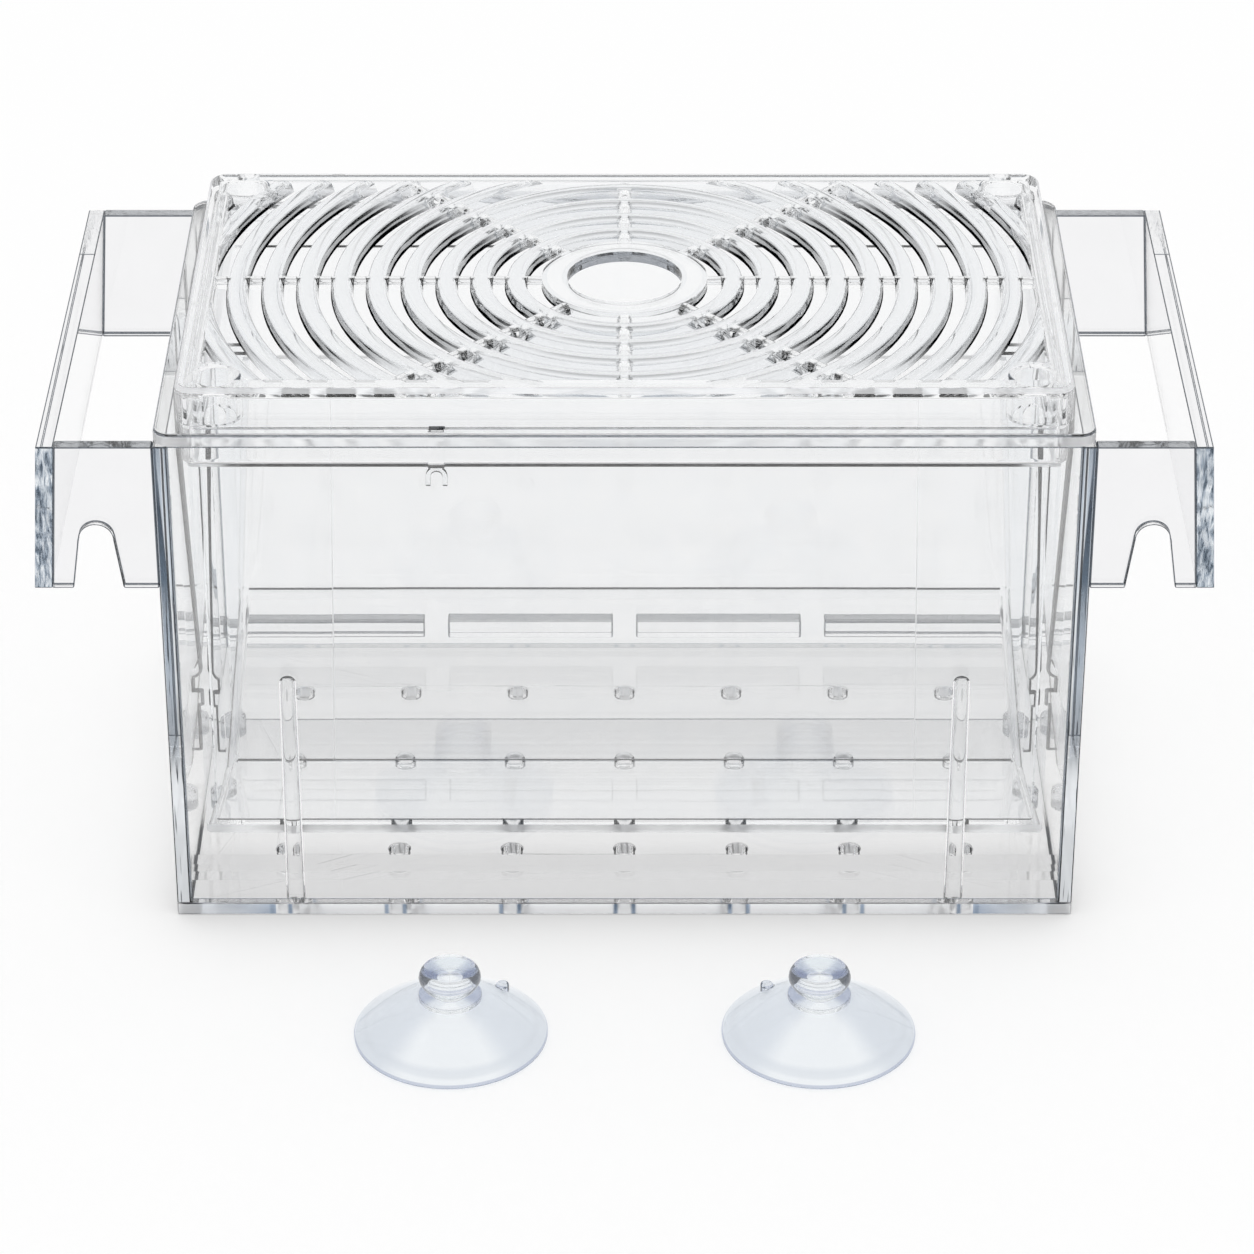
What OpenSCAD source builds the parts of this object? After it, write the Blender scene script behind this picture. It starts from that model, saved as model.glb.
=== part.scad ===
// Hang-on fish breeding box: a clear tank with a V-bottomed tray, a divider, a grille lid and two suction cups.
// X runs along the tank, Y from front to back, Z up. The origin is the centre of the tank's underside.

/* [Tank] */
// Length of the tank, outside
tank_l = 200; // [180:1:260]
// Width of the tank, front to back, outside
tank_w = 117.2; // [105:0.2:160]
// Height of the rim above the surface the tank stands on
rim_h = 118.5; // [105:0.5:160]
// Thickness of the wall panels
wall_t = 3; // [2.6:0.1:4]
// Thickness of the base panel
base_t = 3; // [2.4:0.1:5]

/* [Base holes] */
// Diameter of each flow hole
flow_hole_d = 4.8; // [3:0.1:7]
// Spacing of the holes along the tank
flow_hole_pitch = 25.6; // [20:0.1:28]
// Number of holes in a row
flow_hole_cols = 7; // [3:1:7]
// Distance between the rows
flow_row_pitch = 35; // [25:0.5:42]

/* [Foot rails and front ribs] */
// Height of each foot rail above the base panel
rail_lift = 5; // [3:0.1:8]
// Height of a foot rail's section
rail_h = 4.2; // [3:0.1:6]
// Depth of a foot rail, wall to edge
rail_d = 4; // [2:0.1:5]
// Length of each gap in the back rail
rail_gap = 5.6; // [3:0.1:12]
// Spacing of the gaps in the back rail
rail_gap_pitch = 45.6; // [30:0.1:60]
// Distance of each front rib from the tank's end
rib_end_off = 26.5; // [18:0.5:40]
// Width of a front rib at its foot
rib_foot_w = 4; // [3:0.1:6]
// Width of a front rib at its top
rib_top_w = 3; // [2:0.1:5]
// Height of the front ribs' tops
rib_top_z = 61; // [40:0.5:80]
// How far a front rib stands off the front panel
rib_proud = 1.3; // [0.8:0.1:1.3]

/* [Hanger wings] */
// Reach of a wing from the end panel to its outer face, at the top
wing_reach = 24.6; // [18:0.2:35]
// Height of the wings' front plates
wing_h = 34.3; // [28:0.1:50]
// How far a wing's lower edge rises towards the back
wing_rise = 2.9; // [0:0.1:6]
// Thickness of the outer plate
wing_outer_t = 3.7; // [3:0.1:5]
// How far the outer plate flares out at its foot
wing_flare = 2.2; // [0:0.1:4]
// Distance of the notch's middle from the end panel
notch_off = 13; // [11:0.2:14]
// Width of the notch at its mouth
notch_mouth_w = 11; // [8:0.2:12]
// Width of the notch just below its round top
notch_neck_w = 7.4; // [5:0.2:9]
// Height of the notch
notch_h = 15.4; // [12:0.2:22]

/* [Tray] */
// Wall thickness of the tray
tray_t = 2; // [1.2:0.1:2.4]
// Gap between the tray and the tank's end panels
tray_end_gap = 4; // [3.6:0.1:6]
// Gap between the tray and the tank's front and back panels
tray_side_gap = 1.6; // [1.5:0.1:3]
// Height of the shoulder where the walls turn into the sloping floor
tray_shoulder_z = 19.3; // [16:0.1:28]
// Gap under the bottom of the V
valley_gap = 0.4; // [0.3:0.1:1]
// Diameter of each drop hole through the bottom of the V
valley_hole_d = 4.8; // [3:0.1:7]
// Width of a divider guide on the end wall, at its foot
guide_foot_w = 0.8; // [0.5:0.1:3]
// Width of a divider guide on the end wall, at its top
guide_top_w = 7.6; // [4:0.1:10]
// Thickness of a divider guide
guide_t = 1.6; // [1:0.1:3]
// Clearance between the lid's skirt and what lies under it
lid_gap = 0.5; // [0.3:0.1:2]

/* [Tray end fins] */
// Clearance between a fin's widest place and the end panel
fin_clear = 0.5; // [0.3:0.1:1.5]
// Distance of the fin's tip below the tray's top
fin_tip_drop = 12; // [4:0.5:40]
// Width of the fin at its tip
fin_tip_w = 0.3; // [0.2:0.1:1.5]
// Height of the fin's round foot above the tray's shoulder
fin_foot_rise = 8.4; // [6:0.1:14]
// Radius of the fin's round foot
fin_foot_r = 2.4; // [1:0.1:3]
// Height of the lug's underside above the tray's shoulder
lug_rise = 1.1; // [0.2:0.1:2.4]
// Height of the lug
lug_h = 3.6; // [2:0.1:5]
// How far the web between the fin and the lug is set back
web_set_back = 2; // [0.5:0.1:2.4]
// How far the strip below the lug is set back
low_strip_set_back = 0.9; // [0.2:0.1:2]
// Clearance between the strip's foot and the top of the studs
low_strip_clear = 1.2; // [0.3:0.1:3]

/* [Divider] */
// Thickness of the divider
divider_t = 2; // [1.2:0.1:3]
// How far the divider's ends lean in at the top
divider_lean = 5.6; // [0:0.1:8]
// Clearance around the divider
divider_clear = 0.3; // [0.2:0.05:0.6]
// Height that the divider's top stays below the tray's top
divider_drop = 2; // [0.5:0.5:20]
// Distance from the divider's end to the step at the foot of its thin window
window_end_in = 22.9; // [10:0.1:40]
// How far the window's edge leans in at the top
window_lean = 2.2; // [0:0.1:5]
// Depth of the window's step on each face
window_step = 0.25; // [0.1:0.05:0.5]

/* [Tray rests] */
// Diameter of a rest stud
stud_d = 6; // [4:0.1:8]
// Distance of a stud from the tank's centre line, front to back
stud_y = 16.4; // [12:0.2:30]
// Distance of a stud's middle in from the tray's end
stud_end_in = 0.5; // [0:0.1:6]

/* [Lid] */
// Thickness of the lid's flange
flange_t = 2.8; // [2:0.1:4]
// Corner radius of the flange and crown
lid_r = 4; // [2:0.2:6]
// Distance from the flange's edge in to the crown's long walls
crown_side_in = 4.3; // [3.4:0.1:8]
// Distance from the flange's edge in to the crown's end walls
crown_end_in = 4.65; // [4:0.05:8]
// Height of the crown above the flange
crown_h = 8.8; // [6:0.1:15]
// Wall thickness of the crown and skirt
crown_t = 2.2; // [1.6:0.1:3]
// Depth of the skirt below the rim
skirt_h = 6; // [3:0.5:12]
// Gap between the skirt and the end panels
skirt_end_gap = 2.6; // [1:0.1:4]
// Gap between the skirt and the front and back panels
skirt_side_gap = 1.7; // [1.6:0.1:3]

/* [Lid grille] */
// Width of the grille's border
border_w = 5; // [3:0.2:8]
// Height of the grille's bars
bar_h = 2.8; // [1.6:0.1:4]
// Width of a ring bar
ring_w = 4; // [2:0.1:5]
// Spacing of the ring bars
ring_pitch = 7.675; // [6:0.025:12]
// Chamfer on the bars' top edges
bar_chamfer = 0.8; // [0.2:0.1:1]
// Number of spokes
spokes = 8; // [4:2:12]
// Width of a spoke
spoke_w = 2.9; // [1.6:0.1:5]
// How far a spoke's faces stay inside the ring bars' faces
spoke_inset = 0.3; // [0.1:0.1:0.6]
// Diameter of the feeding hole
feed_hole_d = 25.4; // [16:0.2:36]
// Width of the hub ring round the feeding hole
hub_w = 5.6; // [3:0.2:8]

/* [Lid bosses and catch] */
// Diameter of a corner boss
boss_d = 11.6; // [8:0.2:14]
// Wall thickness of a corner boss
boss_t = 1.5; // [1:0.1:2.5]
// Distance from the crown's end wall to a boss's middle
boss_end_in = 8.4; // [7:0.1:12]
// Distance from the crown's long wall to a boss's middle
boss_side_in = 7.4; // [6:0.1:12]
// Distance of the catch from the lid's left end
catch_end_off = 60; // [20:0.5:90]
// Width of the catch's strip on the skirt
catch_w = 3.4; // [2:0.1:6]
// How far the strip stands off the skirt
catch_proud = 1.3; // [0.8:0.1:1.3]
// How much wider the loop under the strip is
loop_extra_w = 1.2; // [0.6:0.1:2]
// Height of the loop below the strip
loop_h = 4; // [3:0.1:6]
// Width of the loop's legs
loop_leg_w = 1; // [0.6:0.1:1.4]
// Thickness of the loop
loop_t = 0.9; // [0.6:0.1:1.2]
// How far the loop laps over the strip's foot
loop_lap = 0.4; // [0.2:0.1:0.8]

/* [Suction cups] */
// Diameter of a cup's rim
cup_d = 41.8; // [35:0.2:50]
// Height of a cup's dome at the collar
cup_dome_h = 9.5; // [7:0.1:12]
// Thickness of a cup's lip
cup_lip_t = 0.8; // [0.6:0.1:1.2]
// Width of the flat ring under the lip
cup_lip_w = 0.4; // [0.2:0.1:1]
// Thickness of a cup at its middle
cup_mid_t = 2.8; // [2:0.1:4]
// Diameter of the collar at the foot of the knob
cup_collar_d = 13.6; // [11:0.1:15]
// Height of the collar
cup_collar_h = 1.1; // [0.6:0.1:2]
// Diameter of the neck
cup_neck_d = 7; // [6:0.1:9]
// Height of the neck between the collar and the knob
cup_neck_h = 1.2; // [0.8:0.1:3]
// Height of the round fillets on the collar and under the knob
cup_fillet = 0.4; // [0.1:0.1:0.6]
// Diameter of the mushroom knob
cup_knob_d = 13.4; // [11:0.1:15]
// How far the knob's underside draws in
knob_draw = 1.1; // [0.4:0.1:2]
// Height of the knob's shoulder below its top
knob_shoulder = 2.2; // [1.4:0.1:2.6]
// Distance from the knob's side to the ridge round its dished top
knob_ridge_in = 1.3; // [0.8:0.1:3]
// Depth of the dish in the knob's top
knob_dish = 1.2; // [0.4:0.1:2]
// Full height of a cup
cup_h = 16.7; // [15:0.1:20]
// Diameter of the nub on a cup's dome
nub_d = 2.8; // [2:0.1:4]
// Distance of the nub from the cup's middle
nub_off = 13.6; // [11:0.1:16]
// Direction of the nub, turned from the line through both cups
nub_turn = 36; // [0:1:90]
// How far the nub stands off the dome
nub_proud = 1.4; // [0.6:0.1:2]
// Distance of the left cup from the tank's middle
left_cup_x = 37.4; // [30:0.2:60]
// Distance of the right cup from the tank's middle
right_cup_x = 41.8; // [30:0.2:60]
// Distance from the front panel to the cups' middle
cup_front_gap = 45.8; // [30:0.2:60]

/* [Hidden] */
$fn = 64;
eps = 0.01;
cut = 1;
min_r = 0.5;

half_l = tank_l / 2;
half_w = tank_w / 2;
inner_half_l = half_l - wall_t;
inner_half_w = half_w - wall_t;
rail_z = base_t + rail_lift;
rib_x = half_l - rib_end_off;

skirt_z = rim_h - skirt_h;
crown_z = rim_h + flange_t;
lid_top = crown_z + crown_h;
bar_z = lid_top - bar_h;
crown_half_l = half_l - crown_end_in;
crown_half_w = half_w - crown_side_in;
skirt_half_l = inner_half_l - skirt_end_gap;
skirt_half_w = inner_half_w - skirt_side_gap;
feed_r = feed_hole_d / 2;
hub_r = feed_r + hub_w;
first_ring = hub_r + ring_pitch - ring_w / 2;
corner_reach = sqrt(pow(crown_half_l, 2) + pow(crown_half_w, 2));

tray_half_l = inner_half_l - tray_end_gap;
tray_half_w = inner_half_w - tray_side_gap;
tray_top = skirt_z - lid_gap;
valley_z = base_t + valley_gap;
tray_slope = (tray_shoulder_z - valley_z) / tray_half_w;
tray_in_half_l = tray_half_l - tray_t;
tray_in_half_w = tray_half_w - tray_t;
valley_in_z = valley_z + tray_t * sqrt(1 + pow(tray_slope, 2));
shoulder_in_z = valley_in_z + tray_slope * tray_in_half_w;
guide_y = divider_t / 2 + divider_clear;

divider_foot = valley_in_z + divider_clear;
divider_top = tray_top - divider_drop;
divider_half_l = tray_in_half_l - divider_clear;
window_x = divider_half_l - window_end_in;

stud_x = tray_half_l - stud_end_in;
stud_top = valley_z + tray_slope * (stud_y - stud_d / 2) - divider_clear;

wing_z = rim_h - wing_h;
wing_back_z = wing_z + wing_rise;
wing_back_flare = wing_flare * (wing_h - wing_rise) / wing_h;
wing_inner = wing_reach - wing_outer_t;
cup_r = cup_d / 2;
hollow_r = cup_r - cup_lip_w;
collar_r = cup_collar_d / 2;
knob_r = cup_knob_d / 2;
cup_y = -(half_w + cup_front_gap);

// A rectangle with round corners, centred
module round_rect(l, w, r) {
    square([l - 2 * r, w], center = true);
    square([l, w - 2 * r], center = true);
    for (x = [-1, 1], y = [-1, 1])
        translate([x * (l / 2 - r), y * (w / 2 - r)]) circle(r);
}

// A plate standing in the XZ plane from y0 to y0 + t, drawn by its outline
module upright(y0, t) {
    translate([0, y0 + t, 0]) rotate([90, 0, 0]) linear_extrude(t) children();
}

// Places of a row of holes along the tank
function hole_x(col) = (col - (flow_hole_cols - 1) / 2) * flow_hole_pitch;

module base_panel() {
    color([0.90, 0.92, 0.94, 0.5])
    difference() {
        translate([-half_l, -half_w, 0]) cube([tank_l, tank_w, base_t]);
        for (col = [0 : flow_hole_cols - 1], row = [-1 : 1])
            translate([hole_x(col), row * flow_row_pitch, -cut])
                cylinder(d = flow_hole_d, h = base_t + 2 * cut);
    }
}

// The front and back panels stand between the end panels, on the base
module long_panel(side) {
    color([0.92, 0.94, 0.96, 0.4])
    translate([-inner_half_l, side > 0 ? inner_half_w : -half_w, base_t])
        cube([2 * inner_half_l, wall_t, rim_h - base_t]);
}

module end_panel(side) {
    color([0.86, 0.89, 0.93, 0.4])
    translate([side > 0 ? inner_half_l : -half_l, -half_w, base_t])
        cube([wall_t, tank_w, rim_h - base_t]);
}

module front_foot_rail() {
    color([0.88, 0.90, 0.92, 0.6])
    difference() {
        translate([-inner_half_l, -inner_half_w, rail_z]) cube([2 * inner_half_l, rail_d, rail_h]);
        for (side = [-1, 1])
            translate([side * rib_x - rib_foot_w / 2, -inner_half_w - cut, rail_z - cut])
                cube([rib_foot_w, rib_proud + cut, rail_h + 2 * cut]);
    }
}

module back_foot_rail() {
    color([0.88, 0.90, 0.92, 0.6])
    difference() {
        translate([-inner_half_l, inner_half_w - rail_d, rail_z]) cube([2 * inner_half_l, rail_d, rail_h]);
        for (place = [-1 : 1])
            translate([place * rail_gap_pitch - rail_gap / 2, inner_half_w - rail_d - cut, rail_z - cut])
                cube([rail_gap, rail_d + 2 * cut, rail_h + 2 * cut]);
    }
}

// A tapered rib with a round top, bonded inside the front panel
module front_rib(side) {
    top_r = rib_top_w / 2;
    color([0.84, 0.87, 0.90, 0.7])
    translate([side * rib_x, 0, 0]) upright(-inner_half_w, rib_proud) {
        polygon([[-rib_foot_w / 2, base_t], [rib_foot_w / 2, base_t],
            [top_r, rib_top_z - top_r], [-top_r, rib_top_z - top_r]]);
        translate([0, rib_top_z - top_r]) circle(top_r);
    }
}

// Four studs on the base that carry the tray's sloping floor near its ends
module tray_rest_studs() {
    color([0.82, 0.84, 0.86, 0.8])
    for (x = [-1, 1], y = [-1, 1])
        translate([x * stud_x, y * stud_y, base_t]) cylinder(d = stud_d, h = stud_top - base_t);
}

// A notch that opens downwards, with a round top
module notch_outline() {
    neck_r = notch_neck_w / 2;
    polygon([[-notch_mouth_w / 2, -cut], [notch_mouth_w / 2, -cut],
        [neck_r, notch_h - neck_r], [-neck_r, notch_h - neck_r]]);
    translate([0, notch_h - neck_r]) circle(neck_r);
}

// Front or back plate of a wing, between the end panel and the sloping outer plate
module wing_cross_plate(side, y0, notched) {
    low = notched ? wing_z : wing_back_z;
    flare = notched ? wing_flare : wing_back_flare;
    color([0.93, 0.95, 0.97, 0.4])
    upright(y0, wall_t) difference() {
        polygon([[side * half_l, low], [side * half_l, rim_h],
            [side * (half_l + wing_inner), rim_h], [side * (half_l + wing_inner + flare), low]]);
        if (notched) translate([side * (half_l + notch_off), wing_z]) notch_outline();
    }
}

// The sloping outer plate; it is drawn a little low, then its lower edge is cut to rise towards the back
module wing_outer_plate(side) {
    spare = 1;
    flare = wing_flare * (wing_h + spare) / wing_h;
    reach = half_l + wing_reach + flare + cut;
    edge_slope = wing_rise / tank_w;
    color([0.62, 0.68, 0.76, 0.6])
    difference() {
        upright(-half_w, tank_w)
            polygon([[side * (half_l + wing_inner), rim_h], [side * (half_l + wing_reach), rim_h],
                [side * (half_l + wing_reach + flare), wing_z - spare],
                [side * (half_l + wing_inner + flare), wing_z - spare]]);
        translate([side > 0 ? 0 : -reach, 0, 0]) rotate([90, 0, 90]) linear_extrude(reach)
            polygon([[-half_w - cut, wing_z - 2 * spare], [half_w + cut, wing_z - 2 * spare],
                [half_w + cut, wing_back_z + edge_slope * cut], [-half_w - cut, wing_z - edge_slope * cut]]);
    }
}

// Outline of the tray's section across its width, walls down to the shoulders and a V below
module tray_section(half, top, shoulder, valley) {
    polygon([[-half, top], [half, top], [half, shoulder], [0, valley], [-half, shoulder]]);
}

// The outside rib on the tray's end wall: a tapered fin over a lug and a short strip
module end_fin(side) {
    fin_w = tray_end_gap - fin_clear;
    fin_foot = tray_shoulder_z + fin_foot_rise;
    fin_tip = tray_top - fin_tip_drop;
    lug_z = tray_shoulder_z + lug_rise;
    strip_z = stud_top + low_strip_clear;
    translate([side * (tray_half_l - eps), 0, 0]) upright(-tray_t / 2, tray_t) mirror([side < 0 ? 1 : 0, 0]) {
        polygon([[0, fin_foot], [fin_w - fin_foot_r, fin_foot], [fin_w, fin_foot + fin_foot_r],
            [fin_tip_w, fin_tip], [0, fin_tip]]);
        translate([fin_w - fin_foot_r, fin_foot + fin_foot_r]) circle(fin_foot_r);
        translate([0, lug_z]) square([fin_w, lug_h]);
        translate([0, lug_z - eps]) square([fin_w - web_set_back, fin_foot - lug_z + 2 * eps]);
        translate([0, strip_z]) square([fin_w - low_strip_set_back, lug_z - strip_z + eps]);
    }
}

// Two tapered guides on the inside of an end wall, with the divider's end between them
module divider_guides(side) {
    root_x = side * (tray_in_half_l + eps);
    for (face = [-1, 1])
        upright(face > 0 ? guide_y : -guide_y - guide_t, guide_t)
            polygon([[root_x, divider_foot], [root_x, tray_top],
                [side * (tray_in_half_l - guide_top_w), tray_top],
                [side * (tray_in_half_l - guide_foot_w), divider_foot]]);
}

module breeding_tray() {
    color([0.90, 0.93, 0.95, 0.4]) {
        difference() {
            translate([-tray_half_l, 0, 0]) rotate([90, 0, 90]) linear_extrude(2 * tray_half_l)
                tray_section(tray_half_w, tray_top, tray_shoulder_z, valley_z);
            translate([-tray_in_half_l, 0, 0]) rotate([90, 0, 90]) linear_extrude(2 * tray_in_half_l)
                tray_section(tray_in_half_w, tray_top + cut, shoulder_in_z, valley_in_z);
            for (col = [0 : flow_hole_cols - 1])
                translate([hole_x(col), 0, valley_z - cut]) cylinder(d = valley_hole_d, h = 2 * tray_t + cut);
        }
        for (side = [-1, 1]) {
            divider_guides(side);
            end_fin(side);
        }
    }
}

// A loose plate that stands along the bottom of the V, thinner in its middle window
module centre_divider() {
    top_half = divider_half_l - divider_lean;
    color([0.94, 0.96, 0.98, 0.4])
    difference() {
        upright(-divider_t / 2, divider_t)
            polygon([[-divider_half_l, divider_foot], [divider_half_l, divider_foot],
                [top_half, divider_top], [-top_half, divider_top]]);
        for (face = [-1, 1])
            upright(face > 0 ? divider_t / 2 - window_step : -divider_t / 2 - cut, window_step + cut)
                polygon([[-window_x, divider_foot - cut], [window_x, divider_foot - cut],
                    [window_x - window_lean, divider_top + cut], [-window_x + window_lean, divider_top + cut]]);
    }
}

// One ring bar of the grille with chamfered top edges
module ring_bar(r_in, r_out) {
    rotate_extrude($fn = 180)
        polygon([[r_in, bar_z], [r_out, bar_z], [r_out, lid_top - bar_chamfer], [r_out - bar_chamfer, lid_top],
            [r_in + bar_chamfer, lid_top], [r_in, lid_top - bar_chamfer]]);
}

// The space that the grille fills, out to the middle of its border
module grille_field(hole_r) {
    translate([0, 0, bar_z - cut]) linear_extrude(bar_h + 2 * cut) difference() {
        round_rect(2 * crown_half_l - border_w, 2 * crown_half_w - border_w, lid_r);
        if (hole_r > 0) circle(hole_r, $fn = 96);
    }
}

module grille() {
    last = floor((corner_reach - first_ring) / ring_pitch);
    intersection() {
        union() for (i = [0 : last])
            ring_bar(first_ring + i * ring_pitch - ring_w / 2, first_ring + i * ring_pitch + ring_w / 2);
        grille_field(0);
    }
    intersection() {
        for (i = [0 : spokes / 2 - 1])
            rotate([0, 0, i * 360 / spokes]) translate([-corner_reach, -spoke_w / 2, bar_z + spoke_inset])
                cube([2 * corner_reach, spoke_w, bar_h - 2 * spoke_inset]);
        grille_field(feed_r + hub_w / 2);
    }
}

// A hollow wall between two heights, with round corners
module ring_wall(z0, z1, half_x, half_y, t, r) {
    translate([0, 0, z0]) linear_extrude(z1 - z0) difference() {
        round_rect(2 * half_x, 2 * half_y, r);
        round_rect(2 * (half_x - t), 2 * (half_y - t), max(r - t, min_r));
    }
}

// A short tube under each corner of the grille, closed by the grille's border
module corner_boss() {
    difference() {
        translate([0, 0, crown_z]) cylinder(d = boss_d, h = crown_h);
        translate([0, 0, crown_z - cut]) cylinder(d = boss_d - 2 * boss_t, h = bar_z - crown_z + cut);
    }
}

// A strip on the skirt's front with an open loop hanging below it
module lid_catch() {
    loop_w = catch_w + loop_extra_w;
    loop_r = loop_w / 2;
    strip_z = skirt_z - lid_gap;
    arch_z = strip_z - loop_r + loop_lap;
    loop_foot = strip_z - loop_h;
    loop_y = -(skirt_half_w + catch_proud);
    translate([catch_end_off - half_l, 0, 0]) {
        upright(loop_y, catch_proud + eps) translate([-catch_w / 2, strip_z]) square([catch_w, rim_h - strip_z]);
        upright(loop_y, loop_t) difference() {
            union() {
                translate([0, arch_z]) circle(loop_r);
                translate([-loop_r, loop_foot]) square([loop_w, arch_z - loop_foot]);
            }
            translate([0, arch_z]) circle(loop_r - loop_leg_w);
            translate([loop_leg_w - loop_r, loop_foot - cut])
                square([loop_w - 2 * loop_leg_w, arch_z - loop_foot + cut]);
        }
    }
}

module lid() {
    color([0.90, 0.92, 0.95, 0.5]) {
        ring_wall(rim_h, crown_z, half_l, half_w, half_w - crown_half_w + crown_t, lid_r);
        ring_wall(crown_z - eps, lid_top, crown_half_l, crown_half_w, crown_t, lid_r);
        ring_wall(bar_z, lid_top, crown_half_l - eps, crown_half_w - eps, border_w, lid_r);
        ring_wall(skirt_z, rim_h + eps, skirt_half_l, skirt_half_w, crown_t, lid_r - cut);
        ring_bar(feed_r, hub_r);
        grille();
        for (x = [-1, 1], y = [-1, 1])
            translate([x * (crown_half_l - boss_end_in), y * (crown_half_w - boss_side_in), 0]) corner_boss();
        lid_catch();
    }
}

// Height of a cup's outer skin at radius r, from the lip up to the collar
function dome_z(r) =
    let (t = (r - collar_r) / (cup_r - collar_r))
    cup_lip_t + (cup_dome_h - cup_lip_t) * (1 - pow(max(t, 0), 1.3));

// Height of a cup's hollow underside at radius r
function hollow_z(r) = (cup_dome_h - cup_mid_t) * (1 - pow(r / hollow_r, 2));

// A soft cup with a mushroom knob; side is the way its nub points
module suction_cup(x, side) {
    steps = 12;
    neck_z = cup_dome_h + cup_collar_h;
    knob_z = neck_z + cup_neck_h;
    nub_z = dome_z(nub_off);
    under = [for (i = [0 : steps]) let (r = hollow_r * i / steps) [r, hollow_z(r)]];
    outer = [for (i = [0 : steps]) let (r = cup_r - (cup_r - collar_r) * i / steps) [r, dome_z(r)]];
    knob = [[collar_r, neck_z], [cup_neck_d / 2, neck_z + cup_fillet], [cup_neck_d / 2, knob_z],
        [knob_r - knob_draw, knob_z + cup_fillet], [knob_r, cup_h - knob_shoulder],
        [knob_r - knob_ridge_in / 3, cup_h - knob_dish / 2], [knob_r - knob_ridge_in, cup_h],
        [knob_r - 2 * knob_ridge_in, cup_h - knob_dish / 2], [0, cup_h - knob_dish]];
    color([0.80, 0.85, 0.92, 0.6])
    translate([x, cup_y, 0]) {
        rotate_extrude($fn = 96) polygon(concat(under, [[cup_r, 0]], outer, knob));
        rotate([0, 0, side > 0 ? nub_turn : 180 - nub_turn]) translate([nub_off, 0, nub_z - nub_d / 2])
            cylinder(d = nub_d, h = nub_d / 2 + nub_proud);
    }
}

base_panel();
long_panel(-1);  // front_panel
long_panel(1);  // back_panel
end_panel(-1);  // left_end_panel
end_panel(1);  // right_end_panel
front_foot_rail();
back_foot_rail();
front_rib(-1);  // left_front_rib
front_rib(1);  // right_front_rib
tray_rest_studs();
wing_cross_plate(-1, -half_w, true);  // left_wing_front_plate
wing_outer_plate(-1);  // left_wing_outer_plate
wing_cross_plate(-1, inner_half_w, false);  // left_wing_back_plate
wing_cross_plate(1, -half_w, true);  // right_wing_front_plate
wing_outer_plate(1);  // right_wing_outer_plate
wing_cross_plate(1, inner_half_w, false);  // right_wing_back_plate
breeding_tray();
centre_divider();
lid();
suction_cup(-left_cup_x, 1);  // left_suction_cup
suction_cup(right_cup_x, -1);  // right_suction_cup
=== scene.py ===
import math

import bmesh
import bpy
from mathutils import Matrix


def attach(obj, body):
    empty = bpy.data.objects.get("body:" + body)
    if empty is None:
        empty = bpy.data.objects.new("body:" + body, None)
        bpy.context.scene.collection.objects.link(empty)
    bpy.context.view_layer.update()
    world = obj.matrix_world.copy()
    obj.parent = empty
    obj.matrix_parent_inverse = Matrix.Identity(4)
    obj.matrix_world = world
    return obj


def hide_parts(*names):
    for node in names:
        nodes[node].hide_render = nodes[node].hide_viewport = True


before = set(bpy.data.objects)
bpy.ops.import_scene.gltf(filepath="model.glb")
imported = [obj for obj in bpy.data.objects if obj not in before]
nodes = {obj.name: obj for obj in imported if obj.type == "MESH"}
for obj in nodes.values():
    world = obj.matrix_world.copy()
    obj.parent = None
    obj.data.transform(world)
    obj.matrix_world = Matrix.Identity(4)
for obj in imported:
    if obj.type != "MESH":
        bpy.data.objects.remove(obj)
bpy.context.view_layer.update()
scene = bpy.context.scene
mm = 0.001


# ---------- camera and light ----------
cameraSettings = {
    "place": (0.0, -0.9407, 0.5900),
    "lookDown": 30.3,          # degrees below level
    "lens": 135.75,
    "shiftX": 0.002,
}
studio = {
    "worldLight": 1.0,         # even light on the table and the plastic
    "floorColour": "#fefefe",
    "floorGlow": 0.32,         # share of the table's white that no shadow takes away
    "floorGlowInGlass": 0.80,  # the same where the plastic shows the table
    "ceiling": (0.80, 0.97, 0.55),
    "sides": (0.45, 0.80, 0.22),
    "roomColour": "#15181d",
    "bounces": 48,
}


def linearFromHex(text, alpha=1.0):
    parts = [int(text[i:i + 2], 16) / 255 for i in (1, 3, 5)]
    return tuple(c / 12.92 if c <= 0.04045 else ((c + 0.055) / 1.055) ** 2.4 for c in parts) + (alpha,)


def addNode(tree, kind, settings=None, links=None):
    node = tree.nodes.new(kind)
    for name, value in (settings or {}).items():
        if name.startswith("in:"):
            key = name[3:]
            node.inputs[int(key) if key.isdigit() else key].default_value = value
        else:
            setattr(node, name, value)
    for name, source in (links or {}).items():
        tree.links.new(source, node.inputs[int(name) if name.isdigit() else name])
    return node


def makeCamera(s):
    data = bpy.data.cameras.new("productCamera")
    data.lens = s["lens"]
    data.sensor_width = 36
    data.shift_x = s["shiftX"]
    data.clip_start = 0.01
    camera = bpy.data.objects.new("productCamera", data)
    camera.location = s["place"]
    camera.rotation_euler = (math.radians(90 - s["lookDown"]), 0, 0)
    scene.collection.objects.link(camera)
    scene.camera = camera


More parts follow.
